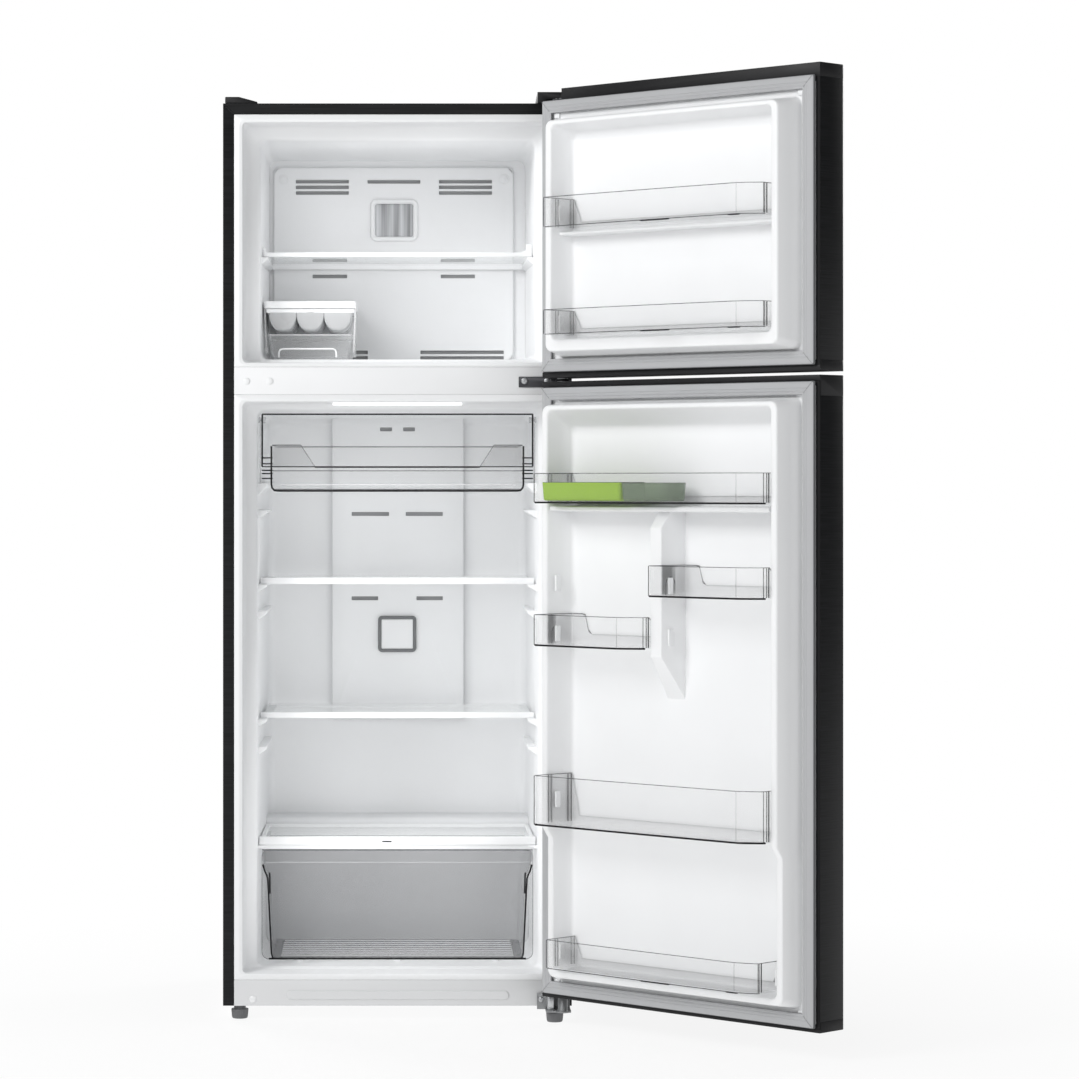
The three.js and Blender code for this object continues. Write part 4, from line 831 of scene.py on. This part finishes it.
def foot(name, node, centre, top):
    steps = 96
    rings = []
    for radius, z in ((13.4, 0), (15.0, 0.6), (15.5, 2.2), (16.0, 3.0), (17.3, 16.4), (17.4, 18.0),
                      (16.6, 19.2), (12.2, 19.6), (11.8, 20.4), (11.8, top - 0.4),
                      (5.0, top - 0.4), (5.0, top + 8)):
        ring = []
        for i in range(steps):
            r = radius - (0.55 if 3 <= z <= 17 and i % 4 < 2 else 0)
            turn = 2 * pi * i / steps
            ring.append(spun((*centre, 0), "z", r * cos(turn), r * sin(turn), z))
        rings.append(ring)
    shape = Shape().loft(rings, 0, True, True)
    shape.piece(name, ["foot"], node, "foot_plastic", [node], angle=30)


foot("foot_barrel_left", "foot_left", (-317, 23), 29.7)
foot("foot_barrel_right", "foot_right", (314.6, -27), 21.2)

irons = Shape()
for x, y, z, radius in ((254.8, -2.8, 1281.4, 6.6), (300, -2.8, 1281.4, 6.0),
                        (288, -5.4, 41, 5.4), (336, -5.4, 41, 5.4)):
    irons.screw((x, y, z), radius)
for y in (40, 66):
    irons.screw((322, y, 1842.8), 6.0, "z")
irons.piece("hinge_screws", ["screw"], "cabinet", "hinge_steel")
plates = Shape()
for z, profile in ((1283.6, ((11, 0), (11, 3.4), (10.2, 4.2), (7.4, 4.4), (6.6, 3.6))),
                   (1279.7, ((11, 0), (11, -3.0), (10.2, -3.8), (7.4, -4.0)))):
    plates.lathe(profile, (PIN_X, PIN_Y, z), "z", 36)
plates.prism([(300, 24.6), (300, 50), (304, 53), (312, 53), (312, 24.6)], along_y, -44, -6, 1.2)
plates.piece("hinge_collars", ["screw"], "cabinet", "hinge_steel")

# ---------------------------------------------------------------- doors
INNER = -13.0  # the inner face of a shut door
EDGE = 348.9  # half width of the liner
SEAL = 340.5  # half width inside the gasket's groove
LOW_CREST = 44 / 61  # below its step the lower door's ridge is this much shallower
SLOPE = 11  # half the height of that step's slope


def stepped_ring(dims, y, radius, step_z):
    """A front ring; the part below a step in its sides is shallower."""
    half, z0, z1 = dims
    ring = front_ring(half, (z0, z1), radius, y)
    if step_z is None:
        return ring
    sunk = INNER + (y - INNER) * LOW_CREST if y > INNER else y
    corner = 2 * (ARC + 1)
    lower = front_ring(half, (z0, z1), radius, sunk)
    left = [Vector((-half, y, step_z + SLOPE)), Vector((-half, sunk, step_z - SLOPE))]
    right = [Vector((half, sunk, step_z - SLOPE)), Vector((half, y, step_z + SLOPE))]
    return ring[:corner] + left + lower[corner:] + right


def door_liner(name, node, low, high, ridge, ledges, extra, step_z=None):
    """The vacuum formed door liner: flat rim, a rounded ridge all round and a flat floor."""
    shape = Shape()
    height, ob, oc, ic, ib = ridge
    crest = INNER + height
    edge, groove = (EDGE, low, high), (SEAL, low + EDGE - SEAL, high - EDGE + SEAL)

    def mix(a, b, t):
        return tuple(a[i] + (b[i] - a[i]) * t for i in range(3))

    def at(dims, y, radius, by=0.0):
        half, z0, z1 = dims
        return stepped_ring((half + by, z0 - by, z1 + by), y, radius, step_z)

    rings = [
        at(edge, INNER - 2.4, 2), at(edge, INNER - 0.1, 2), at(groove, INNER, 2),
        at(ob, INNER, 18, 4), at(ob, INNER + 0.6, 17, 1.5), at(ob, INNER + 2.5, 16),
        at(mix(ob, oc, 0.5), INNER + height * 0.5, 16), at(mix(ob, oc, 0.94), crest - 4.5, 16),
        at(oc, crest - 1.6, 15, -0.6), at(oc, crest - 0.3, 14, -2.2), at(oc, crest, 13, -4.5),
        at(ic, crest, 13, 3.5), at(ic, crest - 0.4, 12, 1.4), at(ic, crest - 2.0, 12, -0.2),
        at(mix(ic, ib, 0.1), crest - 6, 12), at(mix(ic, ib, 0.55), INNER + height * 0.42, 14),
        at(mix(ic, ib, 0.92), INNER + 6, 16), at(ib, INNER + 2, 17, -1.2),
        at(ib, INNER + 0.5, 18, -4), at(ib, INNER, 20, -9),
    ]
    # The first two bands, the rim's outer edge and the flat rim up to the gasket's groove, take the
    # near-black dark material: painted shade for the gap between the gasket and the door's skin.
    shape.loft(rings, mats=[1, 1] + [0] * (len(rings) - 2), end=True)
    for half, z0, z1, top in ledges:
        outline = [(INNER - 1, z0), (top, z0 + 2), (top, z1 - 2), (INNER - 1, z1)]
        shape.prism(outline, along_x, -half, half, 2.4, 3)
    for side in (-1, 1):
        for z in (ob[1] - 9, ob[2] + 9):
            shape.box(sided(side, 301, 314), (INNER - 1, INNER + 5), (z - 6, z + 6), 1.2)
    extra(shape, crest)
    shape.piece(name, ["white", "dark"], node.replace("_liner", ""), "white_plastic", [node],
                DOOR, 50)


def clip_boss(shape, x, y, z, side):
    """A raised hook on the liner that a bin hangs from."""
    shape.box(tuple(sorted((x, x + side * 5))), (y - 7, y + 7), (z - 16, z + 16), 2.4, 4)


def lower_extra(shape, crest):
    outline = [(INNER - 1, 1024), (crest - 27, 1024), (crest - 0.4, 991), (crest - 0.4, 744),
               (INNER + 4, 668), (INNER - 1, 660)]
    shape.wedge(outline, INNER, crest, (14, 23), 3.5, 4)
    for z in (880, 781):
        for x, side in ((-17, -1), (17, 1), (275, -1), (-275, 1)):
            clip_boss(shape, x, 27, z, side)
    for y, z in ((27, 455), (15, 155)):
        for side in (-1, 1):
            clip_boss(shape, -side * 275, y, z, side)


def upper_extra(shape, crest):
    for z in (1606, 1390):
        for side in (-1, 1):
            clip_boss(shape, -side * 271, 22, z, side)


# each ridge: its height, then half width, bottom and top of its outer foot, outer crest,
# inner crest and inner foot
door_liner("upper_door_tub", "upper_door_liner", 1296.7, 1832.0,
           (55.0, (307, 1326, 1796), (293, 1335, 1790), (278, 1358, 1781), (268, 1364, 1770)),
           [(273, 1562, 1572, 22)], upper_extra)
door_liner("lower_door_tub", "lower_door_liner", 63.0, 1266.6,
           (61.0, (307, 97, 1236), (296, 104, 1229), (282, 116, 1220), (270, 124, 1190)),
           [(276, 1020, 1033, 47)], lower_extra, 389)


def gasket(name, node, low, high):
    """The magnetic seal: a foot in its groove, side bellows and a ribbed magnet face."""
    face = [(1.4, -3.6), (4.5, -2.0), (9.5, -0.8), (12.6, -0.5), (13.2, -1.3), (14.0, -1.3),
            (14.6, -0.5), (19.2, -0.5), (19.8, -1.3), (20.6, -1.3), (21.2, -0.5), (24, -0.6),
            (25.6, -1.6), (26, -3.2)]
    outer = [(5, -12.7), (5, -10.5), (1.5, -9.5), (0, -8), (1.2, -6.6), (0.2, -5)]
    inner = [(25, -5), (26, -6.6), (24.5, -8.5), (20.5, -10), (20.5, -12.7)]
    rings = [front_ring(343 - w, (low + w, high - w), max(1.0, 4 - w * 0.12), y)
             for w, y in outer + face + inner]
    # The foot and both side folds take the darker bellows rubber as painted shade; the thin corner
    # tubes are the seal's mitre joints.
    shape = Shape().loft(rings + [rings[0]], mats=[1] * 6 + [0] * 14 + [1] * 5)
    for side in (-1, 1):
        for z, turn in ((low, 1), (high, -1)):
            shape.tube([(side * 341, -0.45, z + turn * 2), (side * 320, -0.45, z + turn * 23)],
                       0.3, 1, 6)
    shape.piece(name, ["gasket", "bellows"], node.replace("_gasket", ""), "gasket_rubber",
                [node], DOOR, 55)


gasket("upper_door_seal", "upper_door_gasket", 1296.4, 1835.3)
gasket("lower_door_seal", "lower_door_gasket", 63.7, 1266.4)


def inset(points, by):
    """A convex outline moved inwards by a distance."""
    count = len(points)
    turn = sum(points[i - 1][0] * points[i][1] - points[i][0] * points[i - 1][1] for i in range(count))
    sign = 1 if turn > 0 else -1
    moved = []
    for i in range(count):
        before, here, after = (Vector(points[k % count]) for k in (i - 1, i, i + 1))
        first, second = (here - before).normalized(), (after - here).normalized()
        first, second = Vector((-first.y, first.x)) * sign, Vector((-second.y, second.x)) * sign
        moved.append(here + (first + second) * by / (1 + first.dot(second)))
    return moved


def softened(points, radii, steps=5):
    """Each corner with a radius becomes a short curve; the others stay single points."""
    count = len(points)
    result = []
    for i in range(count):
        before, here, after = (Vector(points[k % count]) for k in (i - 1, i, i + 1))
        if radii[i] <= 0:
            result.append(here)
            continue
        first, second = before - here, after - here
        reach = min(radii[i], first.length * 0.45, second.length * 0.45)
        start, end = here + first.normalized() * reach, here + second.normalized() * reach
        for step in range(steps + 1):
            t = step / steps
            result.append(start * (1 - t) ** 2 + here * 2 * t * (1 - t) + end * t ** 2)
    return result


REAR_STEPS = 28


def door_bin(name, node, body, back, front, crest, reach, z, half_bin=False):
    """A clear bin: square at the hinge end, cut away at the free end, with a low rear wall."""
    z0, z1 = z
    y_back, y_front = INNER + 0.8, INNER + reach
    wide, deep = 38.0, min(28.0, y_front - crest - 12)
    outline = [(front[1], crest), (front[1], y_front - 4), ((front[0] + front[1]) / 2, y_front),
               (front[0] + wide, y_front), (front[0], y_front - deep), (front[0], crest),
               (back[0], y_back), (back[1], y_back)]
    radii = [0, 7, 0, 22, 14, 0, 0, 0]
    low_wall = z0 + (22 if half_bin else 15)

    def rear_top(x):
        """Height of the rear rim at x: tall at the ends, low between."""
        if half_bin:
            t = (back[1] - x - 34) / 14
        else:
            t = (min(x - back[0], back[1] - x) - 3) / 6
        t = min(1.0, max(0.0, t))
        return z1 - (z1 - low_wall) * t * t * (3 - 2 * t)

    def ring(by, level):
        points = softened(inset(outline, by), [max(r - by, 1.5) if r else 0 for r in radii])
        rear = [points[-2].lerp(points[-1], k / REAR_STEPS) for k in range(1, REAR_STEPS)]
        result = []
        for n, p in enumerate(points[:-1] + rear + points[-1:]):
            height = level
            if n >= len(points) - 2 and level > z0 + 12:
                rise = (level - z0 - 12) / (z1 - z0 - 12)
                height = z0 + 12 + rise * (rear_top(p.x) - z0 - 12)
            result.append(Vector((p.x, p.y, height)))
        return result

    outer = [ring(*step) for step in (
        (9, z0), (4.5, z0 + 0.2), (2.0, z0 + 1.2), (0.8, z0 + 2.8), (0.2, z0 + 6), (0, z1 - 1.4),
        (0, z1 - 0.5), (0.5, z1))]
    inner = [ring(*step) for step in (
        (2.0, z1), (2.5, z1 - 0.5), (2.5, z1 - 1.4), (2.5, z0 + 12.5), (3.4, z0 + 6),
        (6, z0 + 3.4), (10, z0 + 2.6))]
    shape = Shape().shell(outer, inner, [0, 0, 0, 0, 0, 1, 1, 1, 1, 1, 0, 0, 0, 0, 0])

    def upright(x, y, low, high, radius, mat):
        """A line up the wall, where the eye looks along the plastic."""
        shape.tube([(x, y, z0 + low), (x, y, z1 - high)], radius, mat)

    sill = softened(inset(outline, 1.6), [6 if r else 0 for r in radii])
    strong = body == "lower_door" and z0 > 200
    sill_line = (2.0, 3) if strong else (0.9, 1)
    shape.tube([(p.x, p.y, z0 + 1.6) for p in sill[1:-3]], *sill_line, 6)
    free, hinge = front
    upright(hinge - 1.2, y_front - 6, 2, 1, 1.0, 1)
    upright(free + 1.3, crest + 1, 3, 1, 1.1, 3)
    upright(free + 1.4, crest + 7, 3, 1, 0.9, 1)
    upright(free + 1.6, y_front - deep - 2, 3, 1, 0.8, 1)
    upright(free + wide + 6, y_front - 1.4, 4, 2, 0.5, 2)
    if half_bin:
        arch = [(25 + 13 * cos(t), z0 + 22 + 15 * sin(t))
                for t in (pi * k / 12 for k in range(13))]
        shape.tube([(hinge - 1.4, y, z) for y, z in [(38, z0 + 3)] + arch + [(12, z0 + 3)]], 0.9, 1)
        shape.box((hinge - 2.1, hinge - 1.0), (y_back + 3, crest), (z0 + 3, z1 - 2), 0.4, 1)
    else:
        for y, radius, mat in ((crest - 1, 0.9, 1), (crest - 8, 1.6, 2), (y_back + 12, 2.0, 2),
                               (y_back + 4, 1.0, 1)):
            lean = (hinge - back[1]) * max(0.0, (crest - y)) / (crest - y_back)
            upright(hinge - 1.4 - lean, y, 3, 2, radius, mat)
        middle = (free + hinge) / 2
        if not strong:
            for x in ((middle - 57, middle + 13), (free + wide, free + wide + 26)):
                shape.box(x, (y_front - 6, y_front - 0.8), (z0 - 0.4, z0 + 1.8), 0.8, 2, 3)
    shape.piece(name, ["clear", "edge", "faint", "dark"], body, "clear_plastic", [node], DOOR, 34)


UP = dict(back=(-264, 264), front=(-272, 264), crest=44, reach=97)
FULL = dict(back=(-269, 269), front=(-280, 280), crest=48, reach=107)
door_bin("upper_bin_1", "upper_door_bin_high", "upper_door", z=(1576, 1636), **UP)
door_bin("upper_bin_2", "upper_door_bin_low", "upper_door", z=(1366, 1416), **UP)
door_bin("lower_bin_1", "lower_door_bin_top", "lower_door", z=(1037, 1096), **FULL)
door_bin("lower_bin_2", "lower_door_bin_half_high", "lower_door", (-269, -24), (-280, -16), 48,
         107, (860, 920), True)
door_bin("lower_bin_3", "lower_door_bin_half_low", "lower_door", (24, 269), (16, 280), 48,
         107, (758, 820), True)
door_bin("lower_bin_4", "lower_door_bin_tall", "lower_door", z=(407, 505), **FULL)
door_bin("lower_bin_5", "lower_door_bin_bottom", "lower_door", (-262, 262), (-262, 262), 48, 91,
         (126, 184))


def door_tub(name, node, x, y, z, radii, mat, cups, slot):
    """A small open tub with a rolled rim; eggs or jars stand in rings on its floor."""
    z0, z1 = z

    def ring(by, level):
        lean = 2 * (z1 - level) / (z1 - z0)
        curves = [max(r - by, 3) for r in radii]
        return plan_ring(grown(x, -by - lean), grown(y, -by - lean), curves, level)

    outer = [ring(*step) for step in ((5, z0), (2, z0 + 0.4), (0.6, z0 + 2), (0.2, z0 + 5),
                                      (0.2, z1 - 3.4), (0, z1 - 3), (0, z1 - 0.8), (0.6, z1))]
    inner = [ring(*step) for step in ((2.2, z1), (2.7, z1 - 0.8), (2.7, z0 + 7), (4, z0 + 4),
                                      (8, z0 + 3))]
    shape = Shape().shell(outer, inner, [0] * 13)
    rim = plan_ring(grown(x, -0.6), grown(y, -0.6), radii, z1 - 0.2)
    shape.tube(rim, 0.6, 1, 6, True)
    for cx, cy, radius in cups:
        circle = [(cx + radius * cos(t), cy + radius * sin(t), z0 + 14)
                  for t in (2 * pi * k / 24 for k in range(24))]
        shape.tube(circle, 1.4, 0, 8, True)
        shape.lathe(((radius - 1, 13.6), (radius - 2.6, 11), (radius - 6, 6), (radius - 9, 2.8),
                     (0.1, 2.8), (radius - 7, 4.8), (radius - 4.2, 9), (radius, 13.6)),
                    (cx, cy, z0), "z", 24)
    shape.piece(name, [mat, "dark"], "egg_tray", slot, [node], DOOR, 40)


egg_cups = [(83 + 39 * n, 47 + side * 18.5, 16.5) for n in range(5) for side in (-1, 1)]
door_tub("egg_tub", "egg_tray", (58, 264), (8, 86), (1042, 1078), [9, 9, 6, 6], "green", egg_cups,
         "green_plastic")
door_tub("spice_tub", "small_tray", (-55, 57.7), (10, 84), (1042, 1077), [6, 26, 20, 6], "mint",
         (), "smoke_plastic")

# ---------------------------------------------------------------- back of the cabinet
REAR_Y = 618.4
rear = Shape()
for x in (-210, -70, 70, 210):
    rear.loft([[Vector((u, REAR_Y + out, v))
                for u, v in rounded((x - 16 + by, x + 16 - by), (420 + by, 1700 - by), 15 - by)]
               for by, out in ((0, -0.3), (1.4, 0.5), (3.4, 1.1), (6.5, 1.4))],
              0, True, True, flip=True)
rear.piece("rear_ribs", ["galvanised"], "cabinet", "rear_metal")
rear_screws = Shape()
spots = [(x, z) for x in (-336, 336) for z in (340, 600, 900, 1200, 1500, 1815)]
for x, z in spots + [(x, 306) for x in (-320, -160, 0, 160, 320)]:
    rear_screws.lathe(((4.6, -0.4), (4.6, 0.6), (3.8, 1.3), (2.2, 1.5), (0.1, 1.2)),
                      (x, REAR_Y, z), "y", 20)
rear_screws.piece("rear_screws", ["screw"], "cabinet", "rear_metal")
pipes = Shape()
for path in (
    [(190, 548, 182), (190, 548, 196), (186, 548, 205), (176, 548, 210), (150, 548, 212),
     (120, 546, 218), (92, 543, 226), (60, 540, 230)],
    [(215, 560, 150), (226, 564, 158), (236, 566, 172), (240, 566, 200), (240, 566, 250),
     (232, 566, 268), (214, 566, 276), (120, 566, 276)],
):
    pipes.tube(path, 4.0, 0, 12)
pipes.piece("compressor_pipes", ["copper"], "cabinet", "compressor_metal")

# ---------------------------------------------------------------- studio
WHITE = (1.0, 1.0, 1.0, 1.0)
floor_shape = bmesh.new()
bmesh.ops.create_grid(floor_shape, x_segments=1, y_segments=1, size=14)
floor_mesh = bpy.data.meshes.new("studio_floor")
floor_shape.to_mesh(floor_mesh)
floor_shape.free()
# The floor's paper is lit near the object and fades to plain white further out.
paper, tree, shader = new_material("floor_paper")
grain = noise(tree, 300.0)
feed(tree, shader, {
    "Base Color": ramp(tree, grain, (0.945, 0.945, 0.945), (0.955, 0.955, 0.955)),
    "Roughness": span(tree, grain, 0.7, 0.8), "Specular IOR Level": 0.1,
    "Normal": bump(tree, grain, 0.05, 0.0002)})
distance = tree.nodes.new("ShaderNodeVectorMath")
distance.operation = "LENGTH"
feed(tree, distance, {0: add_node(tree, "TexCoord", {}, "Object")})
fade = span(tree, distance.outputs["Value"], 0.86, 1.0, 0.5, 1.9)
glow = add_node(tree, "Emission", {"Color": WHITE}, "Emission")
surface = add_node(tree, "MixShader", {"Fac": fade, 1: shader.outputs["BSDF"], 2: glow}, "Shader")
feed(tree, tree.nodes["Material Output"], {"Surface": surface})
floor_mesh.materials.append(paper)
floor = bpy.data.objects.new("studio_floor", floor_mesh)
bpy.context.scene.collection.objects.link(floor)

# The backdrop is plain white to the camera; a gentler sky lights the room.
world = bpy.data.worlds.new("studio")
bpy.context.scene.world = world
world.use_nodes = True
sky = world.node_tree
backdrop = sky.nodes["Background"]
feed(sky, backdrop, {"Color": WHITE, "Strength": 1.0})
ambient = {"Color": (0.97, 0.985, 1.0, 1.0), "Strength": 0.16}
lit = add_node(sky, "MixShader", {
    "Fac": add_node(sky, "LightPath", {}, "Is Camera Ray"),
    1: add_node(sky, "Background", ambient, "Background"),
    2: backdrop.outputs["Background"]}, "Shader")
feed(sky, sky.nodes["World Output"], {"Surface": lit})


def area_light(name, where, aim, size, power):
    data = bpy.data.lights.new(name, "AREA")
    data.shape = "RECTANGLE"
    data.size, data.size_y = size
    data.energy = power
    light = bpy.data.objects.new(name, data)
    light.location = where
    light.rotation_euler = (Vector(aim) - Vector(where)).to_track_quat("-Z", "Y").to_euler()
    bpy.context.scene.collection.objects.link(light)


for row in (
    ("key", (-3.4, -3.0, 3.7), (0, 0, 1.1), (2.0, 2.0), 140),
    ("front", (-2.2, -7.2, 3.0), (-0.2, 0, 1.1), (2.2, 2.2), 66),
    ("left", (-5.0, -3.5, 2.2), (0, 0, 1.1), (2.4, 2.4), 10),
    ("right", (2.7, -6.6, 2.0), (-0.4, 0, 1.1), (2.0, 2.0), 24),
    ("freezer_fill", (-0.27, -0.02, 1.54), (-0.21, 0.5, 1.46), (0.42, 0.34), 0.38),
    ("fridge_fill", (-0.27, -0.02, 0.66), (-0.21, 0.5, 0.60), (0.42, 0.96), 0.95),
    ("back_left", (-3.0, 4.2, 3.0), (0, 0, 1.0), (2.0, 2.0), 130),
    ("back_right", (3.4, 3.4, 2.6), (0, 0, 1.0), (2.0, 2.0), 110),
):
    area_light(*row)

# The camera stands level, 7.3 m in front of the cabinet; the shift frames the open doors.
FOCAL_PX = 3647.4
FRAME_PX = 1079.0
SENSOR_MM = 36.0
camera_data = bpy.data.cameras.new("camera")
camera_data.sensor_width = SENSOR_MM
camera_data.lens = FOCAL_PX / FRAME_PX * SENSOR_MM
camera_data.shift_x = 0.1317
camera_data.shift_y = -0.0522
camera_data.clip_end = 100
camera = bpy.data.objects.new("camera", camera_data)
camera.location = CABINET @ Vector((0, -7320, 1076.3))
camera.rotation_euler = (radians(90), 0, 0)
bpy.context.scene.collection.objects.link(camera)
bpy.context.scene.camera = camera
bpy.context.scene.view_settings.view_transform = "Standard"
